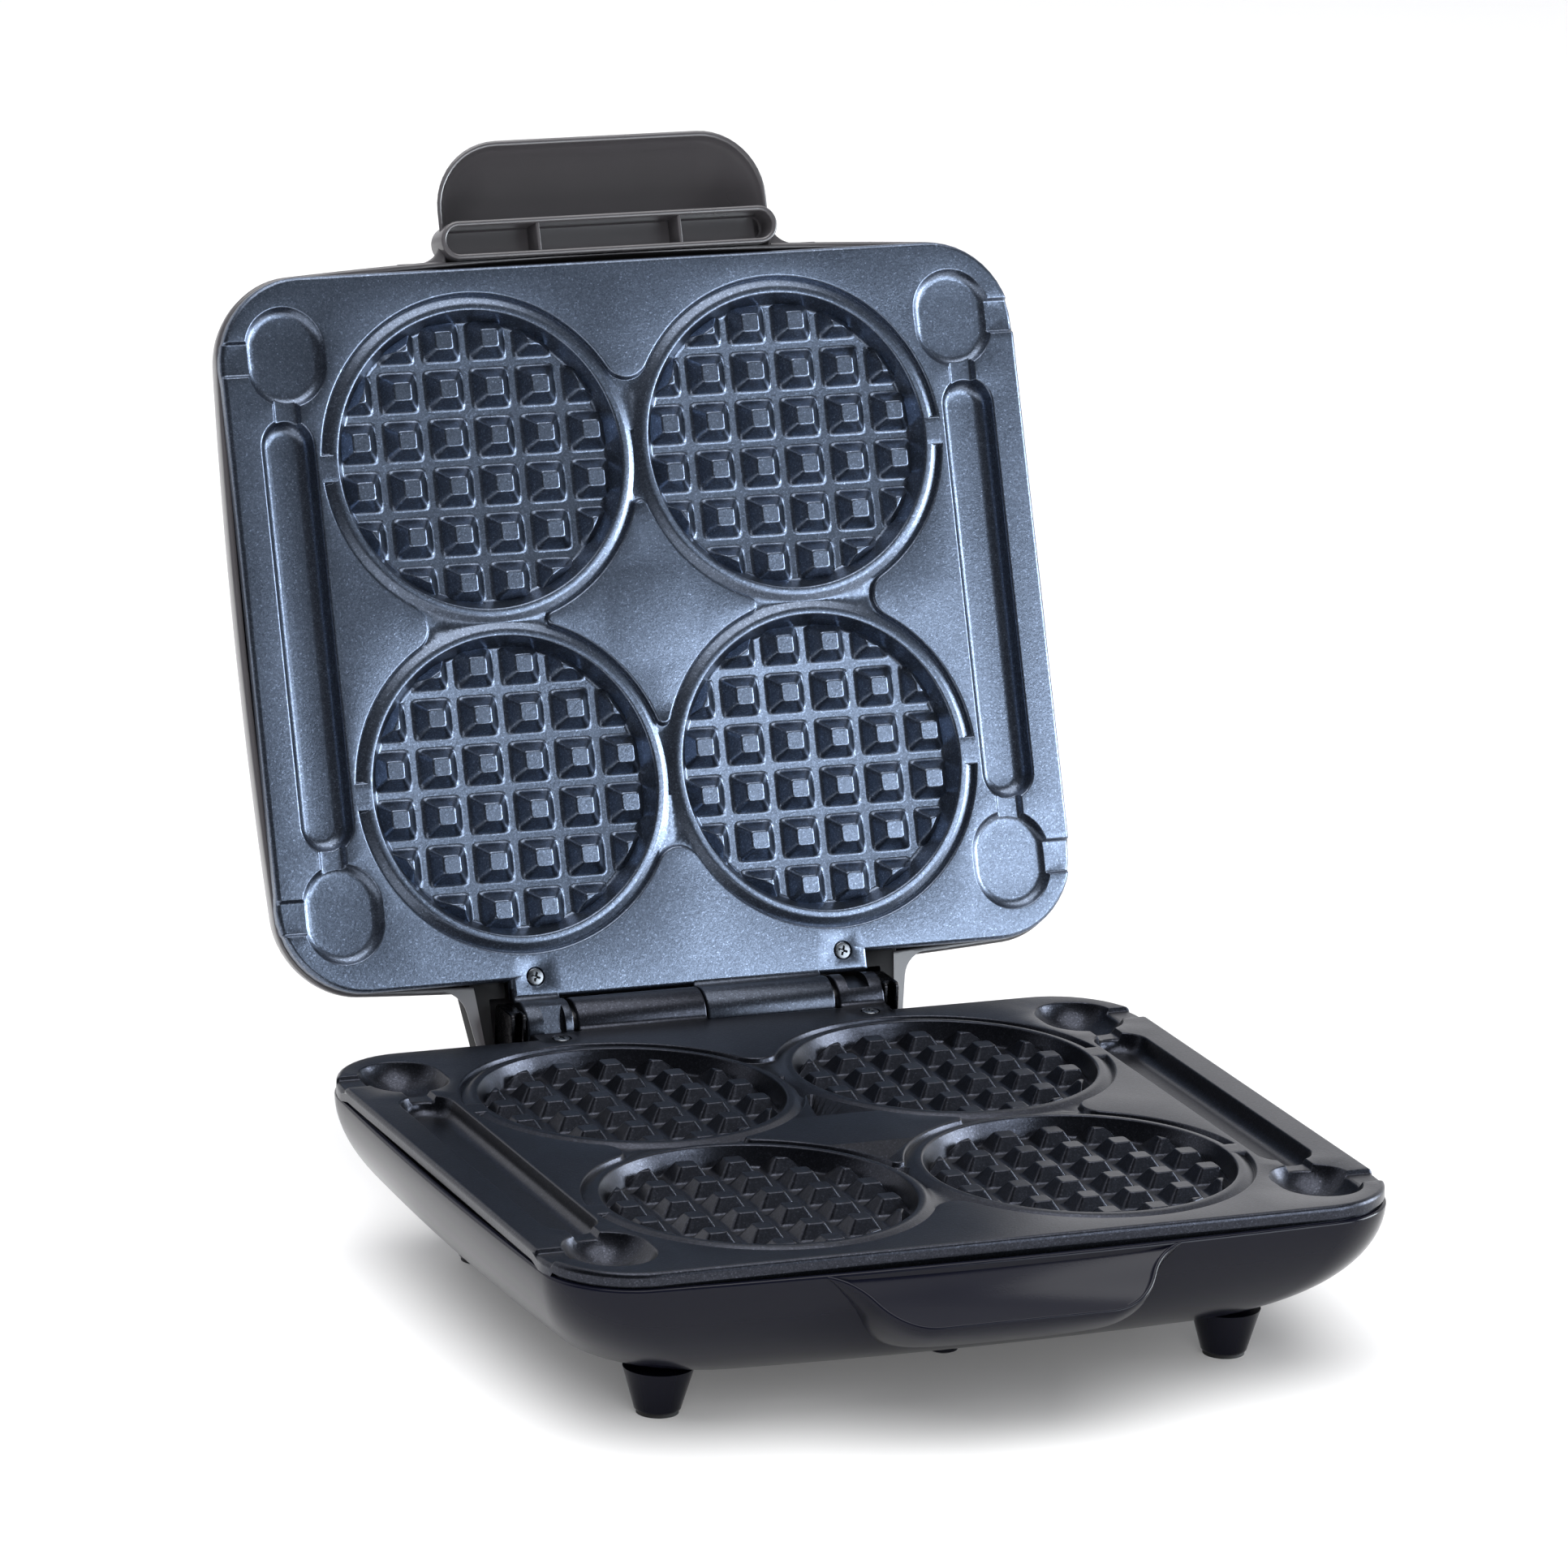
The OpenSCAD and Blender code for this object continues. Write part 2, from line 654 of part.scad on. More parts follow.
module handle_frame() color(graphite) upper_back()
    translate([0, frame_y, frame_low]) {
        difference() {
            linear_extrude(frame_high - frame_low) rotate(90) obround(frame_w, frame_len);
            translate([0, 0, -1]) linear_extrude(frame_high) rotate(90)
                obround(frame_w - 2 * frame_wall, frame_len - 2 * frame_wall);
        }
        for (s = [-1, 1]) translate([s * rib_x - 0.6, -frame_w / 2 + frame_wall - eps, 1])
            cube([1.2, frame_w - 2 * frame_wall + 2 * eps, frame_high - frame_low - 1]);
    }

// Black block that closes the hollow of a hinge arm
module arm_cover(s) color(deep_black) upper_back() difference() {
    intersection() {
        housing(arm_out - wall - 1.2, housing_back - wall - 1.2, lid_rim + 0.5, housing_top - 6);
        translate([s * (arm_in + 8), plate_d / 2 + 13, lid_rim + 8]) cube([16, 22, 16], center = true);
    }
    translate([s * (arm_in + 5), hinge_y - 8, lid_rim + 3]) cube([7, 6, 40], center = true);
}

module arm_cover_left() arm_cover(-1);
module arm_cover_right() arm_cover(1);

thermostat_y = 0;

module thermostat() color([0.3, 0.2, 0.14]) upper_face()
    translate([0, thermostat_y, -plate_t - 0.6]) {
        translate([0, 0, -5]) cylinder(h = 5, r = 7);
        translate([0, 0, -9]) cylinder(h = 4, r = 5);
        for (s = [-1, 1]) translate([s * 6, 0, -8]) cube([5, 2, 2], center = true);
    }

module thermostat_bracket() color(steel) upper_face() difference() {
    translate([-16, thermostat_y - 6, -plate_t - 0.6]) cube([32, 12, 0.6]);
    for (s = [-1, 1]) translate([s * 12.5, thermostat_y, -plate_t - 3]) cylinder(h = 6, r = 1.6);
}

module lid_wiring() color([0.7, 0.25, 0.2]) upper_back() {
    translate([-20, 96, 34.5]) wire(70, 6);
    translate([20, 30, 40]) wire(26, 3);
    translate([0, 22, 41]) rotate([0, 0, 90]) wire(60, 3);
}

module indicator_lens() color([0.75, 0.12, 0.1]) upper_back()
    translate([0, lens_y, shell_h - wall - 1]) {
        cylinder(h = wall + 1.3, r = lens_r - 0.1);
        translate([0, 0, -1.2]) cylinder(h = 2.1, r = lens_r + 1.5);
    }

module lamp_holder() color([0.85, 0.85, 0.82]) upper_back()
    translate([0, lens_y, shell_h - wall - 12.4]) difference() {
        cylinder(h = 10, r = lens_r + 1.5);
        translate([0, 0, 2]) cylinder(h = 12, r = lens_r - 1);
    }

module indicator_lamp() color([0.95, 0.6, 0.3]) upper_back()
    translate([0, lens_y, shell_h - wall - 10.2]) {
        cylinder(h = 6, r = 2);
        translate([0, 0, 6]) sphere(2);
    }

// ---------------------------------------------------------------- drawing

base_shell();
lower_handle();
hinge_cradle();
lower_cooking_plate();
lower_heating_element();
lower_element_clips();
lower_heat_reflector();
lower_plate_screws();
lower_hinge_screws();
thermal_fuse();
terminal_block();
base_wiring();
cord_gland();
foot_front_left();
foot_front_right();
foot_rear_left();
foot_rear_right();
foot_pads();
foot_screws();
hinge_tube();
hinge_clips();
hinge_harness();
lid_shell();
handle_frame();
upper_cooking_plate();
upper_heating_element();
upper_element_clips();
upper_heat_reflector();
upper_reflector_screws();
upper_hinge_screws();
thermostat();
thermostat_bracket();
lid_wiring();
arm_cover_left();
arm_cover_right();
lamp_holder();
indicator_lamp();
indicator_lens();
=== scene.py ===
"""Looks of a four-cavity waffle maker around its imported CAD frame.

Lengths in this file are millimetres until a mesh is made, unless a name ends in _M.
Base pieces are drawn round the middle of the lower plate's face, lid pieces round the middle
of the upper plate's face with +Z away from the food, as in the closed appliance.
"""

import json
from math import acos, atan2, cos, degrees, pi, radians, sin, sqrt, tan

import bmesh
import bpy
import numpy as np
from mathutils import Matrix, Vector
from mathutils.geometry import delaunay_2d_cdt


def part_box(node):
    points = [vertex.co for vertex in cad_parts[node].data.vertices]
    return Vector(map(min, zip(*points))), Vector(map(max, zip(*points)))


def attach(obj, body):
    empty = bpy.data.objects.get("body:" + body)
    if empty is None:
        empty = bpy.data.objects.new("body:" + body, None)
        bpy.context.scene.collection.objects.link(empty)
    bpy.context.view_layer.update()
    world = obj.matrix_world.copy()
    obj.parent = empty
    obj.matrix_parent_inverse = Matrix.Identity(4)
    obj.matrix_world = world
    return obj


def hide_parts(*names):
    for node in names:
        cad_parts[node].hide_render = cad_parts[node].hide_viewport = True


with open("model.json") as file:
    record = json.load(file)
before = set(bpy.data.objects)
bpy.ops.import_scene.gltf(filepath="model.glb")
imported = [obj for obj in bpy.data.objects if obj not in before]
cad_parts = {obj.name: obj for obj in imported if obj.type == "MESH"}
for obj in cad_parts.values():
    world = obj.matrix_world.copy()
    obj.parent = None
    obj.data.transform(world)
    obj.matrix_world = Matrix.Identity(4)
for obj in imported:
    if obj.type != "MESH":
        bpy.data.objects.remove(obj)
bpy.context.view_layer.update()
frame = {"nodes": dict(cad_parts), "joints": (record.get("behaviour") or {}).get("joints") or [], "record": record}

MM = 0.001
TAU = 2 * pi

# Where things stand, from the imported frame
HINGE_M = Vector(frame["joints"][0]["pos_m"])
OPEN_ANGLE = radians(frame["joints"][0]["range_deg"][1])
SLOTS = {s["node"]: s["material_slot"] for s in frame["record"]["subparts"]}
PAD_LO, PAD_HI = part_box("foot_pads")
BASE_Y_M = (PAD_LO.y + PAD_HI.y) / 2

# The part's own values
HINGE_DROP = 1.3
PLATE_GAP = 1.0
HINGE_Y = HINGE_M.y / MM - BASE_Y_M / MM
PLATE_W, PLATE_D, PLATE_R, PLATE_T = 296.6, 249.0, 30.5, 4.0
TAB_HALF, TAB_Y = 66.5, 131.2
CAVITY_X, CAVITY_Y = 57.4, 57.1
LEDGE_R, LEDGE_DEPTH = 58.6, 1.85
RIM_CREST_R = 53.05
FLOOR_DEPTH = 7.0
PEG_PITCH = 17.0
STICK_X, STICK_W, STICK_LEN, STICK_DEPTH = 127.4, 19.6, 151.0, 6.5
WELL_X, WELL_Y, WELL_W, WELL_LEN = 125.0, 96.8, 29.0, 35.0
CHANNEL_X, CHANNEL_Y, CHANNEL_HALF, VENT_HALF, BRIDGE_HALF = 126.6, 78, 5, 6.3, 5
COUNTERBORE_R = 3.5
HINGE_SCREW_X, HINGE_SCREW_Y = 57.5, 123.8
BARREL_R = 9.5
SHELL_HALF_W, SHELL_HALF_D, SHELL_R = 150.5, 129.0, 27.0
SIDE_BOW, FRONT_BOW = 3.5, 5.5
RIM_DROP, SHELL_H, SIDE_BEND, WALL = 5.3, 52.5, 66.0, 2.3

FACE_Z_M = HINGE_M.z + HINGE_DROP * MM
BASE = Matrix.Translation((0, BASE_Y_M, FACE_Z_M))
CLOSED_LID = Matrix.Translation((0, BASE_Y_M, FACE_Z_M + PLATE_GAP * MM))
LID = (
    Matrix.Translation(HINGE_M)
    @ Matrix.Rotation(-OPEN_ANGLE, 4, "X")
    @ Matrix.Translation(-HINGE_M)
    @ CLOSED_LID
)


# ---------------------------------------------------------------- meshes


def new_object(name, data):
    obj = bpy.data.objects.new(name, data)
    bpy.context.scene.collection.objects.link(obj)
    return obj


def look(place, slot, material=None):
    """Where a piece goes, its material, its body and its slot, as the makers below take them."""
    return place, MATS[material or slot], "lid" if place is LID else "base", slot


def dress(obj, material, body, slot, nodes):
    obj.data.materials.append(material)
    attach(obj, body)
    if nodes:
        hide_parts(*nodes)
    return obj


def make_piece(name, verts, faces, finish, nodes=(), sharp=35.0):
    """A mesh object from points in millimetres, smooth but for edges over sharp degrees."""
    place, *rest = finish
    mesh = bpy.data.meshes.new(name)
    turn, shift = np.array(place.to_3x3()), np.array(place.translation)
    mesh.from_pydata((np.asarray(verts, float) * MM @ turn.T + shift).tolist(), [], faces)
    mesh.update()
    obj = new_object(name, mesh)
    mesh.shade_smooth()
    if sharp is not None:
        mesh.set_sharp_from_angle(angle=radians(sharp))
    return dress(obj, *rest, nodes)


def corner_normals(obj, normals, place):
    turned_normals = np.asarray(normals, float) @ np.array(place.to_3x3()).T
    obj.data.normals_split_custom_set([tuple(n) for n in turned_normals])


class Soup:
    """Points and faces gathered from several lofts before they become one mesh."""

    def __init__(self):
        self.verts, self.faces, self.count = [], [], 0

    def add(self, verts, faces):
        self.verts.append(np.asarray(verts, float))
        self.faces += [tuple(i + self.count for i in f) for f in faces]
        self.count += len(verts)

    def grid(self, rings, close_u=True, cap_first=False, cap_last=False, close_v=False):
        """Faces between successive rings of equally many points."""
        rings = [np.asarray(r, float) for r in rings]
        n, m = len(rings[0]), len(rings)
        faces = []
        for k in range(m if close_v else m - 1):
            a, b = k * n, (k + 1) % m * n
            for i in range(n if close_u else n - 1):
                j = (i + 1) % n
                faces.append((a + i, a + j, b + j, b + i))
        if cap_first:
            faces.append(tuple(reversed(range(n))))
        if cap_last:
            faces.append(tuple(range((m - 1) * n, m * n)))
        self.add(np.vstack(rings), faces)

    def piece(self, name, *args, **kw):
        return make_piece(name, np.vstack(self.verts), self.faces, *args, **kw)


def filleted(corners, step=6.0, turn=7.5):
    """Points and outward normals of a closed outline through corners (x, y, radius)."""
    pts, nrm = [], []
    n = len(corners)
    ends = []
    for i in range(n):
        p = np.array(corners[i][:2], float)
        a = np.array(corners[i - 1][:2], float) - p
        b = np.array(corners[(i + 1) % n][:2], float) - p
        a, b = a / np.hypot(*a), b / np.hypot(*b)
        half = acos(max(-1, min(1, float(a @ b)))) / 2
        reach = corners[i][2] / tan(half)
        ends.append((p, a, b, half, reach))
    for i in range(n):
        p, a, b, half, reach = ends[i]
        r = corners[i][2]
        left = (-a[0] * b[1] + a[1] * b[0]) > 0
        start, stop = p + a * reach, p + b * reach
        inward = (a + b) / np.hypot(*(a + b))
        centre = p + inward * (r / sin(half))
        sweep = pi - 2 * half
        count = max(2, int(degrees(sweep) / turn))
        t0 = atan2(*(start - centre)[::-1])
        sign = 1 if left else -1
        for k in range(count + 1):
            t = t0 + sign * sweep * k / count
            d = np.array([cos(t), sin(t)])
            pts.append(centre + r * d)
            nrm.append(d * sign)
        nxt = ends[(i + 1) % n]
        target = nxt[0] + nxt[1] * nxt[4]
        gap = target - stop
        length = float(np.hypot(*gap))
        normal = np.array([gap[1], -gap[0]]) / max(length, 1e-9)
        pieces = max(1, int(length / step))
        for k in range(1, pieces):
            pts.append(stop + gap * k / pieces)
            nrm.append(normal)
    return np.array(pts), np.array(nrm)


def obround(cx, cy, w, length, segments=24, along_x=False):
    """Outline of a slot with round ends, with outward normals."""
    r, half = w / 2, (length - w) / 2
    pts, nrm = [], []
    for end in (0, 1):
        for k in range(segments + 1):
            t = pi * k / segments + end * pi
            d = np.array([cos(t), sin(t)])
            pts.append(r * d + [0, half if end == 0 else -half])
            nrm.append(d)
    # Points along the straight sides
    out_p, out_n = [], []
    for i, (p, d) in enumerate(zip(pts, nrm)):
        out_p.append(p)
        out_n.append(d)
        if i in (segments, 2 * segments + 1):
            q = pts[(i + 1) % len(pts)]
            pieces = max(1, int(np.hypot(*(q - p)) / 6))
            for k in range(1, pieces):
                out_p.append(p + (q - p) * k / pieces)
                out_n.append(d)
    P, N = np.array(out_p), np.array(out_n)
    if along_x:
        P, N = np.c_[P[:, 1], -P[:, 0]], np.c_[N[:, 1], -N[:, 0]]
    return P + [cx, cy], N


def circle(cx, cy, r, segments):
    t = np.arange(segments) * TAU / segments
    return np.c_[cx + r * np.cos(t), cy + r * np.sin(t)]


def raised(points, z):
    return np.c_[points, np.full(len(points), float(z))]


# ---------------------------------------------------------------- profiles of sunk shapes


def sunk_profile(depth, top_r, foot_r, lean, arc=5):
    """(distance inward, height) from a face at 0 down to a floor, with a rounded edge and foot."""
    steep = radians(90 - lean)
    both = top_r + foot_r
    if both * (1 - cos(steep)) > depth:
        steep = acos(1 - depth / both)
    wall = (depth - both * (1 - cos(steep))) / sin(steep)
    d, z = [], []
    for k in range(arc + 1):
        a = steep * k / arc
        d.append(top_r * sin(a))
        z.append(-top_r * (1 - cos(a)))
    d1, z1 = d[-1] + wall * cos(steep), z[-1] - wall * sin(steep)
    for k in range(arc + 1):
        a = steep * (1 - k / arc)
        d.append(d1 + foot_r * (sin(steep) - sin(a)))
        z.append(z1 - foot_r * (cos(a) - cos(steep)))
    d, z = np.array(d), np.array(z)
    keep = np.r_[True, np.diff(d) > 1e-4]
    return d[keep] - top_r * 0.5, z[keep]


def bowl_profile(sphere_r=16.0, rise=7.0, top_r=0.5, steps=14):
    edge = sqrt(sphere_r**2 - rise**2)
    s = np.linspace(edge - top_r, 0, steps)
    z = rise - np.sqrt(sphere_r**2 - s**2)
    d = np.r_[-0.35, -0.05, 0.2, edge - s]
    return d, np.r_[0.0, -0.08, -0.3, z]


LEDGE = sunk_profile(LEDGE_DEPTH, 0.9, 0.4, 22)
FLAT_WELL = sunk_profile(2.6, 0.7, 4.0, 25, arc=7)
BOWL_WELL = bowl_profile()
STICK = sunk_profile(STICK_DEPTH, 0.9, 4.6, 16, arc=7)
CHANNEL = sunk_profile(2.0, 0.5, 1.0, 30, arc=3)
VENT = sunk_profile(1.5, 0.5, 0.8, 30, arc=3)
COUNTERBORE = sunk_profile(1.2, 0.2, 0.1, 5, arc=2)
EDGE_R = 1.6


def cavity_profile():
    """(radius, height) of a waffle cavity, from its floor out to the top of its raised ring."""
    rho, z = [], []
    foot_r, wall_r0, wall_z0 = 1.6, 52.0, -0.85
    slope = atan2(FLOOR_DEPTH + wall_z0, wall_r0 - 49.0)
    start = wall_r0 - (FLOOR_DEPTH + wall_z0) / tan(slope)
    reach = foot_r * tan(slope / 2)
    for k in range(6):
        a = slope * k / 5
        rho.append(start - reach + foot_r * sin(a))
        z.append(-FLOOR_DEPTH + foot_r * (1 - cos(a)))
    for share in (0.35, 0.7, 1.0):
        rho.append(rho[5] + (wall_r0 - rho[5]) * share)
        z.append(z[5] + (wall_z0 - z[5]) * share)
    rho += [52.12, 52.33, 52.62, RIM_CREST_R]
    z += [-0.5, -0.22, -0.06, 0.0]
    return np.array(rho), np.array(z)


# The raised ring's outer flank falls away to the edge of the ledge
HUMP = (
    np.array([RIM_CREST_R, 54.1, 54.7, 55.1, 55.5, 56.2, 56.9, 57.8, 58.2, 58.6]),
    np.array([0.0, -0.06, -0.16, -0.33, -0.53, -0.9, -1.26, -1.72, -1.82, -1.84]),
)

CAVITY_RHO, CAVITY_Z = cavity_profile()


def signed_box(x, y, cx, cy, hx, hy, r):
    """Distance to a rounded box's outline, negative inside."""
    qx, qy = np.abs(x - cx) - hx + r, np.abs(y - cy) - hy + r
    return np.hypot(np.maximum(qx, 0), np.maximum(qy, 0)) + np.minimum(np.maximum(qx, qy), 0) - r


# Radii of the fillets where the ledges of neighbouring cavities run together
OUTER_JOIN_R, INNER_JOIN_R = 8.0, 2.2


def ledge_joins():
    """Each fillet as (middle, the two cavities' middles, radius, reach)."""
    joins = []
    for sx, sy, ax in ((0, 1, 0), (0, -1, 0), (1, 0, 1), (-1, 0, 1)):
        half = CAVITY_X if ax == 0 else CAVITY_Y
        other = CAVITY_Y if ax == 0 else CAVITY_X
        for side, r in ((1, OUTER_JOIN_R), (-1, INNER_JOIN_R)):
            h = sqrt((LEDGE_R + r) ** 2 - half**2)
            reach = other + side * h
            centre = np.array([0.0, sy * reach]) if ax == 0 else np.array([sx * reach, 0.0])
            pair = (
                [np.array([s * CAVITY_X, sy * CAVITY_Y]) for s in (-1, 1)]
                if ax == 0
                else [np.array([sx * CAVITY_X, s * CAVITY_Y]) for s in (-1, 1)]
            )
            joins.append((centre, pair, r, h))
    return joins


JOINS = ledge_joins()


def ledge_distance(x, y):
    """How far a point lies inside the joined ledges, negative outside."""
    depth = LEDGE_R - np.hypot(np.abs(x) - CAVITY_X, np.abs(y) - CAVITY_Y)
    for centre, pair, r, h in JOINS:
        a, b = pair[0] - centre, pair[1] - centre
        px, py = x - centre[0], y - centre[1]
        along = (px * (a + b)[0] + py * (a + b)[1]) / (2 * h)
        turn = a[0] * b[1] - a[1] * b[0]
        in_a = (a[0] * py - a[1] * px) * np.sign(turn) > 0
        in_b = (px * b[1] - py * b[0]) * np.sign(turn) > 0
        wedge = np.hypot(px, py) - r
        inside = in_a & in_b & (along < h)
        depth = np.where(inside, np.minimum(wedge, 4.0), depth)
    return depth


def plate_height(x, y, deep):
    """Height of a cooking plate's upper surface, with 0 on its face."""
    ax, ay = np.abs(x), np.abs(y)
    rho = np.hypot(ax - CAVITY_X, ay - CAVITY_Y)
    h = np.maximum(np.interp(ledge_distance(x, y), *LEDGE), np.interp(rho, *HUMP))
    # Bridges across the ledge on the outer side
    across = BRIDGE_HALF - np.abs(ay - CAVITY_Y)
    bridge = np.interp(across, [-0.7, -0.4, 0.0, 0.4, 0.7], [-1.8, -1.5, -0.5, -0.06, 0])
    h = np.where((ax > 100) & (ax < 120) & (rho > RIM_CREST_R), np.maximum(h, bridge), h)
    h = np.where(rho < RIM_CREST_R, np.interp(rho, CAVITY_RHO, CAVITY_Z), h)
    well = BOWL_WELL if deep else FLAT_WELL
    d = -signed_box(ax, ay, WELL_X, WELL_Y, WELL_W / 2, WELL_LEN / 2, WELL_W / 2 - 1e-3)
    h = np.minimum(h, np.interp(d, *well))
    d = -signed_box(x, y, np.sign(x) * STICK_X, 0, STICK_W / 2, STICK_LEN / 2, STICK_W / 2 - 1e-3)
    h = np.minimum(h, np.interp(d, *STICK))
    d = -signed_box(ax, ay, CHANNEL_X, CHANNEL_Y, CHANNEL_HALF, 8, 0.5)
    h = np.minimum(h, np.interp(d, *CHANNEL))
    d = -signed_box(ax, ay, WELL_X + 25, WELL_Y, 25, VENT_HALF, 0.5)
    h = np.minimum(h, np.interp(d, *VENT))
    d = -(np.hypot(ax - HINGE_SCREW_X, y - HINGE_SCREW_Y) - COUNTERBORE_R)
    h = np.minimum(h, np.interp(d, *COUNTERBORE))
    edge = np.clip(plate_inset(x, y), 0, EDGE_R)
    return h - (EDGE_R - np.sqrt(np.maximum(EDGE_R**2 - (EDGE_R - edge) ** 2, 0)))


def plate_inset(x, y):
    """Distance inward from the plate's outline."""
    main = signed_box(x, y, 0, 0, PLATE_W / 2, PLATE_D / 2, PLATE_R)
    tab = signed_box(x, y, 0, TAB_Y - 15, TAB_HALF, 15, 0.8)
    return -np.minimum(main, tab)


def plate_outline():
    w, d = PLATE_W / 2, PLATE_D / 2
    return filleted(
        [
            (-w, -d, PLATE_R),
            (w, -d, PLATE_R),
            (w, d, PLATE_R),
            (TAB_HALF, d, 0.4),
            (TAB_HALF, TAB_Y, 0.8),
            (-TAB_HALF, TAB_Y, 0.8),
            (-TAB_HALF, d, 0.4),
            (-w, d, PLATE_R),
        ]
    )


def arc_points(centre, r, a0, a1, step=2.6):
    count = max(2, int(abs(a1 - a0) * r / step))
    t = a0 + (a1 - a0) * np.arange(count) / count
    return np.c_[centre[0] + r * np.cos(t), centre[1] + r * np.sin(t)]


def ledge_loops(offset):
    """The ledge's outer loop and its loop round the middle island, moved inward by offset."""
    radius = LEDGE_R - offset
    loops = []
    for side, join_r in ((1, OUTER_JOIN_R), (-1, INNER_JOIN_R)):
        pts = []
        r = join_r + offset
        hx = sqrt((LEDGE_R + join_r) ** 2 - CAVITY_X**2)
        hy = sqrt((LEDGE_R + join_r) ** 2 - CAVITY_Y**2)
        quads = [(1, 1), (-1, 1), (-1, -1), (1, -1)]
        for k, (sx, sy) in enumerate(quads):
            c = np.array([sx * CAVITY_X, sy * CAVITY_Y])
            to_side = np.array([sx * (CAVITY_X + side * hy), 0.0]) - c
            to_top = np.array([0.0, sy * (CAVITY_Y + side * hx)]) - c
            first, last = (to_side, to_top) if k % 2 == 0 else (to_top, to_side)
            a0, a1 = atan2(*first[::-1]), atan2(*last[::-1])
            if side > 0:
                while a1 < a0:
                    a1 += TAU
            else:
                while a1 > a0:
                    a1 -= TAU
            pts.append(arc_points(c, radius, a0, a1))
            if k % 2 == 0:
                join = np.array([0.0, sy * (CAVITY_Y + side * hx)])
            else:
                join = np.array([sx * (CAVITY_X + side * hy), 0.0])
            nxt = quads[(k + 1) % 4]
            c2 = np.array([nxt[0] * CAVITY_X, nxt[1] * CAVITY_Y])
            b0 = atan2(*(c - join)[::-1])
            b1 = atan2(*(c2 - join)[::-1])
            if side > 0:
                while b1 > b0:
                    b1 -= TAU
            else:
                while b1 < b0:
                    b1 += TAU
            if r > 0.2:
                pts.append(arc_points(join, r, b0, b1, step=0.9))
        loops.append(np.vstack(pts))
    return loops


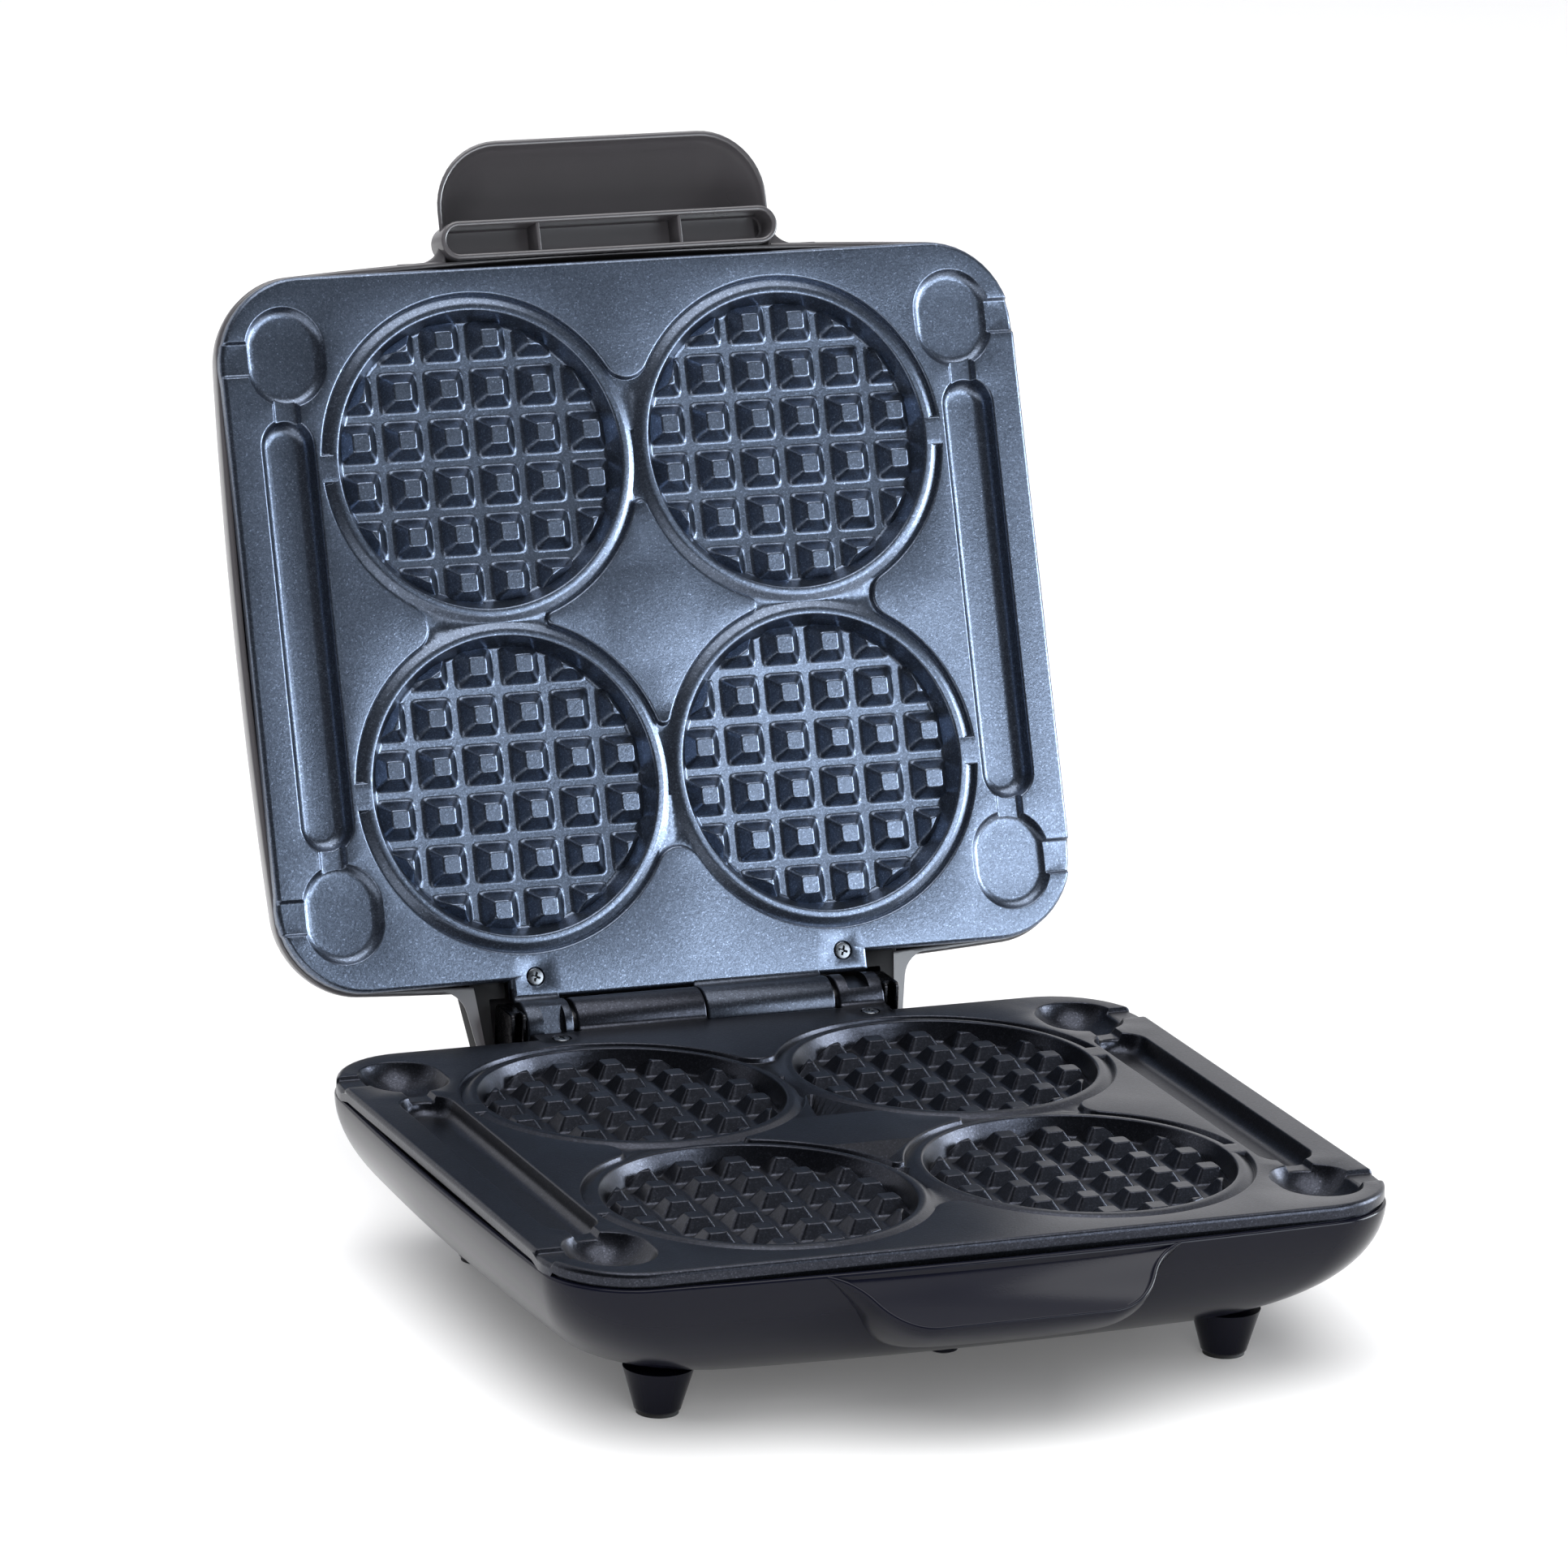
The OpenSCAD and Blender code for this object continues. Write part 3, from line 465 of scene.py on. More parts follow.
def cooking_plate(name, deep, finish, nodes):
    """A cooking plate as one closed casting; the lid's has its face towards -Z."""
    pts, edges = [], []

    def loop(points, closed=True):
        s = len(pts)
        pts.extend(Vector((float(p[0]), float(p[1]))) for p in points)
        n = len(points)
        edges.extend((s + i, s + (i + 1) % n) for i in range(n if closed else n - 1))

    rim, normal = plate_outline()
    for inset in (0, 0.1, 0.3, 0.6, 1.0, EDGE_R):
        loop(rim - normal * inset)
    for d in LEDGE[0]:
        for points in ledge_loops(d):
            loop(points)
    for sx in (-1, 1):
        for sy in (-1, 1):
            for rho in [*CAVITY_RHO, *HUMP[0][1:7]]:
                loop(circle(sx * CAVITY_X, sy * CAVITY_Y, rho, 144))
            well = BOWL_WELL if deep else FLAT_WELL
            outline, n = obround(sx * WELL_X, sy * WELL_Y, WELL_W, WELL_LEN)
            for d in well[0]:
                if d < WELL_W / 2 - 0.4:
                    loop(outline - n * d)
            for level in CHANNEL[0]:
                for s in (-1, 1):
                    x = sx * CHANNEL_X + s * (CHANNEL_HALF - level)
                    loop([(x, sy * (CHANNEL_Y + 4 * k)) for k in range(-2, 3)], False)
            for level in VENT[0]:
                for s in (-1, 1):
                    y = sy * WELL_Y + s * (VENT_HALF - level)
                    loop([(sx * (134 + 3 * k), y) for k in range(5)] + [(sx * 148.2, y)], False)
            for level in (-0.7, -0.4, 0.0, 0.4, 0.7):
                for s in (-1, 1):
                    y = sy * CAVITY_Y + s * (BRIDGE_HALF - level)
                    loop([(sx * (109.5 + k), y) for k in range(9)], False)
        outline, n = obround(sx * STICK_X, 0, STICK_W, STICK_LEN, segments=20)
        for d in STICK[0]:
            loop(outline - n * d)
        for d in COUNTERBORE[0]:
            loop(circle(sx * HINGE_SCREW_X, HINGE_SCREW_Y, COUNTERBORE_R - d, 32))
    # Valleys where the flanks of neighbouring rings meet
    for k in (-1, 1):
        loop([(0, k * (22 + 2 * i)) for i in range(22)], False)
        loop([(k * (22 + 2 * i), 0) for i in range(22)], False)
    coords, _, tris, *_ = delaunay_2d_cdt(pts, edges, [], 0, 1e-5)
    flat = np.array([(c.x, c.y) for c in coords])
    tris = np.array([t for t in tris if len(t) == 3])
    mid = flat[tris].mean(1)
    tris = tris[plate_inset(mid[:, 0], mid[:, 1]) > 1e-3]
    used = np.unique(tris)
    index = np.full(len(flat), -1)
    index[used] = np.arange(len(used))
    flat, tris = flat[used], index[tris]
    x, y = flat[:, 0], flat[:, 1]
    top = plate_height(x, y, deep)
    under = np.minimum(-PLATE_T, top - 2.6)
    n = len(flat)
    ab = flat[tris[:, 1]] - flat[tris[:, 0]]
    ac = flat[tris[:, 2]] - flat[tris[:, 0]]
    backward = ab[:, 0] * ac[:, 1] - ab[:, 1] * ac[:, 0] < 0
    tris[backward] = tris[backward][:, ::-1]
    # Rim edges belong to one triangle only
    pairs = np.vstack([tris[:, [0, 1]], tris[:, [1, 2]], tris[:, [2, 0]]])
    key = np.sort(pairs, 1)
    _, first, counts = np.unique(key, axis=0, return_index=True, return_counts=True)
    border = pairs[first[counts == 1]]
    side = np.c_[border[:, 0], border[:, 0] + n, border[:, 1] + n, border[:, 1]]
    verts = np.vstack([np.c_[flat, top], np.c_[flat, under]])
    faces = [tuple(int(i) for i in f) for part in (tris, tris[:, ::-1] + n, side) for f in part]
    # Exact normals of the upper surface
    e = 0.03
    gx = (plate_height(x + e, y, deep) - plate_height(x - e, y, deep)) / (2 * e)
    gy = (plate_height(x, y + e, deep) - plate_height(x, y - e, deep)) / (2 * e)
    inset = plate_inset(x, y)
    ox = -(plate_inset(x + e, y) - plate_inset(x - e, y)) / (2 * e)
    oy = -(plate_inset(x, y + e) - plate_inset(x, y - e)) / (2 * e)
    up = np.c_[-gx, -gy, np.ones(n)]
    out = np.c_[ox, oy, np.zeros(n)]
    up = np.where((inset < 0.02)[:, None], out + [0, 0, 0.15], up)
    up /= np.linalg.norm(up, axis=1)[:, None]
    out /= np.maximum(np.linalg.norm(out, axis=1), 1e-9)[:, None]
    if finish[0] is LID:
        verts = verts * [1, 1, -1]
        up, out = up * [1, 1, -1], out * [1, 1, -1]
        faces = [f[::-1] for f in faces]
    obj = make_piece(name, verts, faces, finish, nodes, sharp=None)
    normals = []
    for k, f in enumerate(faces):
        if k < len(tris):
            normals += [up[i] for i in f]
        elif k < 2 * len(tris):
            normals += [(0, 0, 0)] * 3
        else:
            normals += [out[i % n] for i in f]
    corner_normals(obj, normals, finish[0])


RIB_TOP, RIB_LOW = -PLATE_T + 0.5, -9.0


def plate_rib(name, finish, nodes):
    """Rib round a plate's underside that hides what lies inside the shell."""
    flip = finish[0] is LID
    w, d = PLATE_W / 2, PLATE_D / 2
    corners = [(-w, -d), (w, -d), (w, d), (-w, d)]
    outline, out = filleted([(x, y, PLATE_R) for x, y in corners])
    section = [(1.4, RIB_TOP), (1.5, RIB_LOW + 0.4), (1.9, RIB_LOW)]
    section += [(3.2, RIB_LOW), (3.6, RIB_LOW + 0.4), (3.6, RIB_TOP)]
    rings = [raised(outline - out * inset, -z if flip else z) for inset, z in section]
    soup = Soup()
    soup.grid(rings if flip else rings[::-1], close_v=True)
    soup.piece(name, finish, nodes)


# ---------------------------------------------------------------- pegs


PEG_FOOT, PEG_RISE, PEG_SLOPE = 7.7, 5.0, radians(54)
PEG_FOOT_R, PEG_TOP_R = 1.8, 0.9
PEG_CUT_R = 52.0


def peg_profile(arc=4):
    """(distance in from the foot, height, tilt) up a peg's flank, where tilt 0 faces up."""
    slope, low, high = PEG_SLOPE, PEG_FOOT_R, PEG_TOP_R
    out = []
    for k in range(arc + 1):
        a = slope * k / arc
        out.append((low * sin(a), low * (1 - cos(a)), a))
    z = PEG_RISE - high * (1 - cos(slope))
    d = out[-1][0] + (z - out[-1][1]) / tan(slope)
    for k in range(arc + 1):
        a = slope * (1 - k / arc)
        out.append((d + high * (sin(slope) - sin(a)), z + high * (cos(a) - cos(slope)), a))
    return np.array(out)


def peg_depth(x, y, cx, cy):
    """How far a point lies inside a peg's foot; pegs at the rim are cut round with the cavity."""
    ax, ay = np.abs(x - cx), np.abs(y - cy)
    far = np.maximum(ax, ay)
    soft = 0.9 + 2.1 * np.minimum(1, far / PEG_FOOT) ** 2
    square = PEG_FOOT - far - np.maximum(soft - np.abs(ax - ay), 0) ** 2 / (4 * soft)
    cut = PEG_CUT_R - np.hypot(x, y)
    blend = 0.6
    return np.minimum(square, cut) - np.maximum(blend - np.abs(square - cut), 0) ** 2 / (4 * blend)


def peg_peak(cx, cy):
    """The innermost point of a peg."""
    at = np.array([cx, cy])
    for span in (PEG_FOOT, 0.8, 0.08):
        g = np.linspace(-span, span, 33)
        x, y = np.meshgrid(at[0] + g, at[1] + g)
        k = int(np.argmax(peg_depth(x, y, cx, cy)))
        at = np.array([x.flat[k], y.flat[k]])
    return at


def peg_mesh(cx, cy, around=48):
    """One peg with its exact normals, in its cavity's own coordinates."""
    profile = peg_profile()
    peak = peg_peak(cx, cy)
    most = float(peg_depth(peak[0], peak[1], cx, cy))
    if most < profile[-1][0] + 0.05:
        end = most - 0.1
        last = [np.interp(end, profile[:, 0], profile[:, c]) for c in (1, 2)]
        profile = np.vstack([profile[profile[:, 0] < end - 0.05], [end, *last]])
    t = np.arange(around) * TAU / around
    t = t + 0.12 * np.sin(4 * t)
    ux, uy = np.cos(t)[None, :], np.sin(t)[None, :]
    near = np.zeros((len(profile), around))
    far = np.full_like(near, 14.0)
    for _ in range(26):
        mid = (near + far) / 2
        inside = peg_depth(peak[0] + mid * ux, peak[1] + mid * uy, cx, cy) > profile[:, :1]
        near, far = np.where(inside, mid, near), np.where(inside, far, mid)
    x, y = peak[0] + near * ux, peak[1] + near * uy
    e = 0.02
    gx = peg_depth(x + e, y, cx, cy) - peg_depth(x - e, y, cx, cy)
    gy = peg_depth(x, y + e, cx, cy) - peg_depth(x, y - e, cx, cy)
    size = np.maximum(np.hypot(gx, gy), 1e-9)
    tilt = profile[:, 2:3] * np.ones_like(x)
    normals = np.stack([-gx / size * np.sin(tilt), -gy / size * np.sin(tilt), np.cos(tilt)], -1)
    z = (profile[:, 1:2] - FLOOR_DEPTH) * np.ones_like(x)
    soup = Soup()
    soup.grid(np.stack([x, y, z], -1), cap_first=True, cap_last=True)
    return np.vstack(soup.verts), normals.reshape(-1, 3), soup.faces


def waffle_pegs(name, finish, nodes):
    """All the pegs of one plate; those at a cavity's rim run into its wall."""
    all_v, all_f, corner = [], [], []
    steps = (-2.5, -1.5, -0.5, 0.5, 1.5, 2.5)
    base = 0
    for i in steps:
        for j in steps:
            if abs(i) + abs(j) > 4.5:
                continue
            verts, normals, faces = peg_mesh(i * PEG_PITCH, j * PEG_PITCH)
            if finish[0] is LID:
                verts, normals = verts * [1, 1, -1], normals * [1, 1, -1]
                faces = [f[::-1] for f in faces]
            for sx in (-1, 1):
                for sy in (-1, 1):
                    all_v.append(verts + [sx * CAVITY_X, sy * CAVITY_Y, 0])
                    for f in faces:
                        all_f.append(tuple(base + q for q in f))
                        corner += [normals[q] for q in f]
                    base += len(verts)
    obj = make_piece(name, np.vstack(all_v), all_f, finish, nodes, sharp=None)
    corner_normals(obj, corner, finish[0])


# ---------------------------------------------------------------- shells


def bowed_outline(half_w, half_d, r, bow_x, bow_y, arc=15, side=24):
    """Rounded rectangle whose edges bow outward, with the same number of points at every size."""
    out = []
    for q, (sx, sy) in enumerate(((1, 1), (-1, 1), (-1, -1), (1, -1))):
        c = np.array([sx * (half_w - r), sy * (half_d - r)])
        for k in range(arc + 1):
            t = pi / 2 * (q + k / arc)
            out.append(c + r * np.array([cos(t), sin(t)]))
        last = out[-1]
        nx, ny = ((-1, 1), (-1, -1), (1, -1), (1, 1))[q]
        t = pi / 2 * (q + 1)
        nxt = np.array([nx * (half_w - r), ny * (half_d - r)]) + r * np.array([cos(t), sin(t)])
        out += [last + (nxt - last) * k / side for k in range(1, side)]
    out = np.array(out)
    u, v = out[:, 0] / half_w, out[:, 1] / half_d
    return np.c_[out[:, 0] * (1 - bow_x / half_w * v * v), out[:, 1] * (1 - bow_y / half_d * u * u)]


def shell_ring(inset, z):
    half_w, half_d = SHELL_HALF_W - inset, SHELL_HALF_D - inset
    return raised(bowed_outline(half_w, half_d, SHELL_R + 0.17 * inset, SIDE_BOW, FRONT_BOW), z)


SHELL_RISE = SHELL_H - RIM_DROP
RIM_EDGE = 1.0


def bowl_inset(depth):
    """Inset of a shell's outer surface at a depth below its rim."""
    return SIDE_BEND * (1 - sqrt(max(0, 1 - min(1, depth / SHELL_RISE) ** 2)))


def bowl_solid(shrink, steps=26):
    """Closed bowl below z = -RIM_DROP; with shrink, the hollow inside, which reaches past the rim."""
    rings = []
    if shrink:
        rings.append(shell_ring(shrink - 0.6, -RIM_DROP + 2))
        rings.append(shell_ring(shrink - 0.6, -RIM_DROP + 0.01))
        for a in (30, 60):
            t = radians(a)
            rings.append(shell_ring(shrink - 0.6 + 0.6 * sin(t), -RIM_DROP - 0.6 * (1 - cos(t))))
    else:
        for a in (0, 22, 45, 68):
            t = radians(a)
            edge = RIM_EDGE * (1 - sin(t))
            rings.append(shell_ring(edge, -RIM_DROP - RIM_EDGE * (1 - cos(t))))
    start = RIM_EDGE / SHELL_RISE
    for k in range(steps + 1):
        t = start + (pi / 2 - start) * k / steps
        inset = shrink + (SIDE_BEND - shrink) * (1 - cos(t))
        rings.append(shell_ring(inset, -RIM_DROP - (SHELL_RISE - shrink) * sin(t)))
    return rings


def loft_object(rings):
    """Temporary closed solid between rings, capped at both ends."""
    soup = Soup()
    soup.grid(rings, cap_first=True, cap_last=True)
    return solid_object(np.vstack(soup.verts), soup.faces)


def solid_object(verts, faces):
    mesh = bpy.data.meshes.new("blank")
    mesh.from_pydata((np.asarray(verts, float) * MM).tolist(), [], faces)
    bm = bmesh.new()
    bm.from_mesh(mesh)
    bmesh.ops.recalc_face_normals(bm, faces=bm.faces)
    bm.to_mesh(mesh)
    bm.free()
    return new_object("blank", mesh)


def rod(x, y, z0, z1, r, segments=32):
    return loft_object([raised(circle(x, y, r, segments), z) for z in (z0, z1)])


def block(x0, x1, y0, y1, z0, z1):
    ring = np.array([(x0, y0), (x1, y0), (x1, y1), (x0, y1)], float)
    return loft_object([raised(ring, z0), raised(ring, z1)])


def turned(obj, matrix):
    obj.data.transform(matrix)
    if matrix.is_negative:
        obj.data.flip_normals()
    return obj


def combine(first, *steps):
    """Apply unions (+) and cuts (-) to a solid and drop the tools."""
    for sign, tool in steps:
        mod = first.modifiers.new("step", "BOOLEAN")
        mod.operation = "UNION" if sign == "+" else "DIFFERENCE"
        mod.solver = "EXACT"
        mod.object = tool
    bpy.context.view_layer.update()
    graph = bpy.context.evaluated_depsgraph_get()
    mesh = bpy.data.meshes.new_from_object(first.evaluated_get(graph))
    first.modifiers.clear()
    first.data = mesh
    for _, tool in steps:
        bpy.data.objects.remove(tool)
    return first


def finish_piece(obj, name, finish, nodes=(), sharp=35.0):
    """Turn a combined solid into a named piece of the visual."""
    place, *rest = finish
    obj.name = obj.data.name = name
    obj.data.transform(place)
    obj.data.shade_smooth()
    obj.data.set_sharp_from_angle(angle=radians(sharp))
    obj.data.materials.clear()
    return dress(obj, *rest, nodes)


FLIP = Matrix.Diagonal((1, 1, -1, 1))
GLAND = (105, 125.2, -16.5, 6.0)
BOSSES = ((104, 0), (-104, 0), (0, 80), (0, -80))
POST_SEAT, POST_TOP, BOSS_HOLE_R = -26.0, -18.9, 3.4


def base_shell():
    shell = loft_object(bowl_solid(0))
    steps = [("-", loft_object(bowl_solid(WALL)))]
    steps.append(("-", block(-TAB_HALF - 1, TAB_HALF + 1, TAB_Y - 2, TAB_Y + 28, -12, 4)))
    x, y, z, r = GLAND
    hole = turned(rod(0, 0, -20, 20, r), Matrix.Rotation(radians(90), 4, "X"))
    steps.append(("-", turned(hole, Matrix.Translation(Vector((x, y, z)) * MM))))
    for bx, by in BOSSES:
        steps.append(("-", rod(bx, by, -SHELL_H - 3, -SHELL_H + 8, BOSS_HOLE_R)))
    combine(shell, *steps)
    finish_piece(shell, "base_shell_visual", look(BASE, "base_gloss"), ("base_shell",))
    posts = Soup()
    for bx, by in BOSSES:
        rings = [(BOSS_HOLE_R, -SHELL_H + 0.2), (BOSS_HOLE_R, POST_SEAT), (1.8, POST_SEAT)]
        rings += [(1.8, POST_TOP), (5, POST_TOP), (5, -SHELL_H + 1.0)]
        posts.grid([raised(circle(bx, by, r, 32), z) for r, z in rings], close_v=True)
    posts.piece("base_posts", look(BASE, "base_gloss"), ("base_shell",))


# The scoop's rim lies on a plane that slopes outward. From the middle it runs along a straight
# front, round a corner, up a short flank and out through a flare.
SCOOP_FRONT, SCOOP_END, SCOOP_SLOPE = -147.98, 62.0, 0.70
SCOOP_CORNER_R, SCOOP_FLANK, SCOOP_FLANK_LEN = 23.0, radians(56), 1.0
SCOOP_FLARE_R, SCOOP_FLARE_END = 21.0, radians(14)


def scoop_rim():
    """Half of the scoop's rim as (x, y), from its middle to its end."""
    flank = SCOOP_FLANK_LEN * np.array([cos(SCOOP_FLANK), sin(SCOOP_FLANK)])
    corner_dx = SCOOP_CORNER_R * sin(SCOOP_FLANK)
    flare_dx = SCOOP_FLARE_R * (sin(SCOOP_FLANK) - sin(SCOOP_FLARE_END))
    corner_x = SCOOP_END - flank[0] - corner_dx - flare_dx
    front = [(corner_x * k / 12, SCOOP_FRONT) for k in range(12)]
    a = np.linspace(0, SCOOP_FLANK, 21)
    arc = SCOOP_CORNER_R * np.c_[np.sin(a), 1 - np.cos(a)]
    corner = arc + [corner_x, SCOOP_FRONT]
    x, y = corner[-1] + flank
    a = np.linspace(SCOOP_FLANK, SCOOP_FLARE_END, 17)
    across = sin(SCOOP_FLANK) - np.sin(a)
    outward = np.cos(a) - cos(SCOOP_FLANK)
    flare = np.c_[x + SCOOP_FLARE_R * across, y + SCOOP_FLARE_R * outward]
    return np.vstack([front, corner, flare])


def shell_front(x, z, inward=0.0):
    """y of the base shell's front at height z below the plate's face."""
    inset = bowl_inset(-z - RIM_DROP) + inward
    half_d, half_w = SHELL_HALF_D - inset, SHELL_HALF_W - inset
    return -half_d * (1 - FRONT_BOW / half_d * (x / half_w) ** 2)


def scoop():
    half = scoop_rim()
    rim = np.vstack([(half * [-1, 1])[::-1], half[1:]])
    tangent = np.gradient(rim, axis=0)
    tangent /= np.linalg.norm(tangent, axis=1)[:, None]
    out_n = np.c_[tangent[:, 1], -tangent[:, 0]]

    def on_slope(xy, drop):
        return np.c_[xy, -6.0 + SCOOP_SLOPE * (xy[:, 1] + 129) - drop]

    crest = on_slope(rim, 0)
    share = 1 - np.minimum(1, (np.abs(rim[:, 0]) / 62) ** 3.5)
    foot_z = crest[:, 2] - 1.0 - 20.0 * share
    foot_x = rim[:, 0] * (1 - 0.06 * share)
    foot = np.array([(x, shell_front(x, z, 1.2), z) for x, z in zip(foot_x, foot_z)])
    knee = crest + np.c_[np.zeros(len(rim)), 1.5 * share, -(0.8 + 9.0 * share)]
    lip = 0.75
    inward = np.c_[-out_n, np.zeros(len(rim))]
    soup = Soup()
    rings = []
    edge = crest + [0, 0, -lip]
    for k in range(15):
        t = k / 14
        rings.append(foot * (1 - t) ** 2 + knee * 2 * t * (1 - t) + edge * t * t)
    for a in (30, 60, 90, 120, 150, 180):
        t = radians(a)
        rings.append(edge + inward * (lip * (1 - cos(t))) + [0, 0, lip * sin(t)])
    shift = rim - out_n * (2 * lip + 0.2)
    rings.append(on_slope(shift, lip + 0.9))
    shift = rim - out_n * (2 * lip + 0.9)
    rings.append(on_slope(shift, lip + 1.25))
    soup.grid(rings, close_u=False, cap_last=True)
    n, m = len(rim), len(rings)
    soup.faces.append(tuple(range(n)))
    soup.faces.append(tuple(k * n for k in range(m)))
    soup.faces.append(tuple((k + 1) * n - 1 for k in range(m))[::-1])
    soup.piece("scoop_visual", look(BASE, "base_gloss"), ("lower_handle",), sharp=40)


FOOT_X, FOOT_Y = 101.0, 82.0
FACE_Z = FACE_Z_M / MM


def feet():
    for sx, side in ((-1, "left"), (1, "right")):
        for sy, end in ((-1, "front"), (1, "rear")):
            soup = Soup()
            profile = [(4.2, 7.2), (4.2, 1.6), (4.5, 1.25)]
            profile += [(6.9, 1.2), (7.4, 1.35), (7.75, 1.75), (7.9, 2.4)]
            profile += [(7.9 + 3.9 * k / 5, 2.4 + 13.6 * k / 5) for k in range(1, 6)]
            place = (sx * FOOT_X, sy * FOOT_Y)
            rings = [raised(circle(*place, r, 48), z - FACE_Z) for r, z in profile]
            soup.grid(rings, cap_first=True, cap_last=True)
            node_name = f"foot_{end}_{side}"
            soup.piece(node_name + "_visual", look(BASE, "base_gloss"), (node_name,), sharp=40)


# ---------------------------------------------------------------- hinge


def hinge_profile(axis_z, f=2.0):
    """Section (y, z) of a barrel that flows out of the plate's tab, with outward normals."""
    c, r = np.array([HINGE_Y, axis_z]), BARREL_R
    top, bottom, front = -0.03, -PLATE_T + 0.03, TAB_Y - 4
    pts, nrm = [np.array([front, top])], [np.array([0.0, 1.0])]

    def arc(centre, radius, a0, a1, count, sign):
        for k in range(count + 1):
            t = a0 + (a1 - a0) * k / count
            d = np.array([cos(t), sin(t)])
            pts.append(centre + radius * d)
            nrm.append(d * sign)

    dz = top + f - axis_z
    upper = c + [-sqrt((r + f) ** 2 - dz**2), dz]
    dz = bottom - f - axis_z
    lower = c + [-sqrt((r + f) ** 2 - dz**2), dz]
    a = atan2(*(c - upper)[::-1])
    arc(upper, f, -pi / 2, a, 5, -1)
    a0 = atan2(*(upper - c)[::-1]) % TAU
    a1 = atan2(*(lower - c)[::-1]) % TAU
    arc(c, r, a0, a1 - TAU, 40, 1)
    b = atan2(*(c - lower)[::-1])
    arc(lower, f, b, pi / 2, 5, -1)
    pts.append(np.array([front, bottom]))
    nrm.append(np.array([0.0, -1.0]))
    return np.array(pts)[::-1], np.array(nrm)[::-1]


def hinge_loft(x0, x1, axis_z, edge=0.7):
    pts, nrm = hinge_profile(axis_z)
    rings = []
    for side, angles in ((0, (0, 30, 60, 90)), (1, (90, 60, 30, 0))):
        for a in angles:
            t = radians(a)
            inset = edge * (1 - sin(t))
            x = x0 + edge * (1 - cos(t)) if side == 0 else x1 - edge * (1 - cos(t))
            p = pts - nrm * inset
            rings.append(np.c_[np.full(len(p), x), p])
    return rings


def hinge_half(name, axis_z, spans, notch, finish, nodes):
    """The barrels one plate carries; notch cuts a window into the short knuckle."""
    whole = None
    for x0, x1 in spans:
        part = loft_object(hinge_loft(x0, x1, axis_z))
        n0, n1 = notch
        if x0 < n0 < x1:
            window = block(n0, n1, HINGE_Y - 13, HINGE_Y + 12, axis_z + 6.6, axis_z + 12)
            part = combine(part, ("-", window))
        if whole is None:
            whole = part
        else:
            whole = combine(whole, ("+", part))
    bore = turned(rod(0, 0, -80, 80, 6.05, 48), Matrix.Rotation(radians(90), 4, "Y"))
    bore = turned(bore, Matrix.Translation(Vector((0, HINGE_Y, axis_z)) * MM))
    whole = combine(whole, ("-", bore))
    if finish[0] is LID:
        turned(whole, FLIP)
    finish_piece(whole, name, finish, nodes, sharp=30)


def cross_screw(name, x, y, place, nodes):
    """Phillips head in a counterbore, its cross turned a little."""
    profile = [(2.97, -1.25), (3.0, -0.5), (2.92, -0.18)]
    profile += [(2.7, 0.02), (2.2, 0.12), (1.4, 0.18), (0.5, 0.2)]
    head = loft_object([raised(circle(0, 0, r, 48), z) for r, z in profile])
    steps = []
    for turn in (20, 110):
        tip = np.array([(-1.75, -0.42), (1.75, -0.42), (1.75, 0.42), (-1.75, 0.42)])
        low = tip * [0.35, 0.5]
        cut = loft_object([raised(low, -1.1), raised(tip, 0.1), raised(tip, 1.0)])
        steps.append(("-", turned(cut, Matrix.Rotation(radians(turn), 4, "Z"))))
    head = combine(head, *steps)
    turned(head, Matrix.Translation(Vector((x, y, 0)) * MM))
    if place is LID:
        turned(head, FLIP)
    finish_piece(head, name, look(place, "screw_steel", "dark_steel"), nodes, sharp=30)


def hinge_clip(s, name):
    """Black U-shaped retainer over the end of the hinge tube."""
    half, high, low, r = 8.0, 7.5, -7.5, 1.6
    corners = [(-half, low, r), (half, low, r), (half, high, r), (-half, high, r)]
    section = [(HINGE_Y + y, z - HINGE_DROP, c) for y, z, c in corners]
    outline = filleted(section, step=1e9, turn=15)[0]

    def plate(x0, x1, edge=0.35):
        rings = []
        mid = outline.mean(0)
        for x, inset in ((x0, edge), (x0 + edge, 0), (x1 - edge, 0), (x1, edge)):
            p = mid + (outline - mid) * (1 - inset / half)
            rings.append(np.c_[np.full(len(p), x), p])
        return loft_object(rings)

    clip = plate(66.75, 68.2)
    top = high - HINGE_DROP
    bridge = block(67.6, 71.6, HINGE_Y - 4.5, HINGE_Y + half - 1.2, top - 1.5, top - 0.1)
    clip = combine(clip, ("+", plate(70.9, 72.4)), ("+", bridge))
    if s < 0:
        turned(clip, Matrix.Diagonal((-1, 1, 1, 1)))
    steel = look(BASE, SLOTS["hinge_clips"], "black_steel")
    finish_piece(clip, name, steel, ("hinge_clips",), sharp=30)


# ---------------------------------------------------------------- lid

GRIP_RIM, GRIP_TOP = 6.0, 28.0
GRIP_HALF, GRIP_FRONT, GRIP_CORNER, GRIP_FLARE = 61.8, -169.4, 24.0, 9.0
GRIP_DRAFT, GRIP_WALL, GRIP_ROOT = 0.26, -127.2, -108


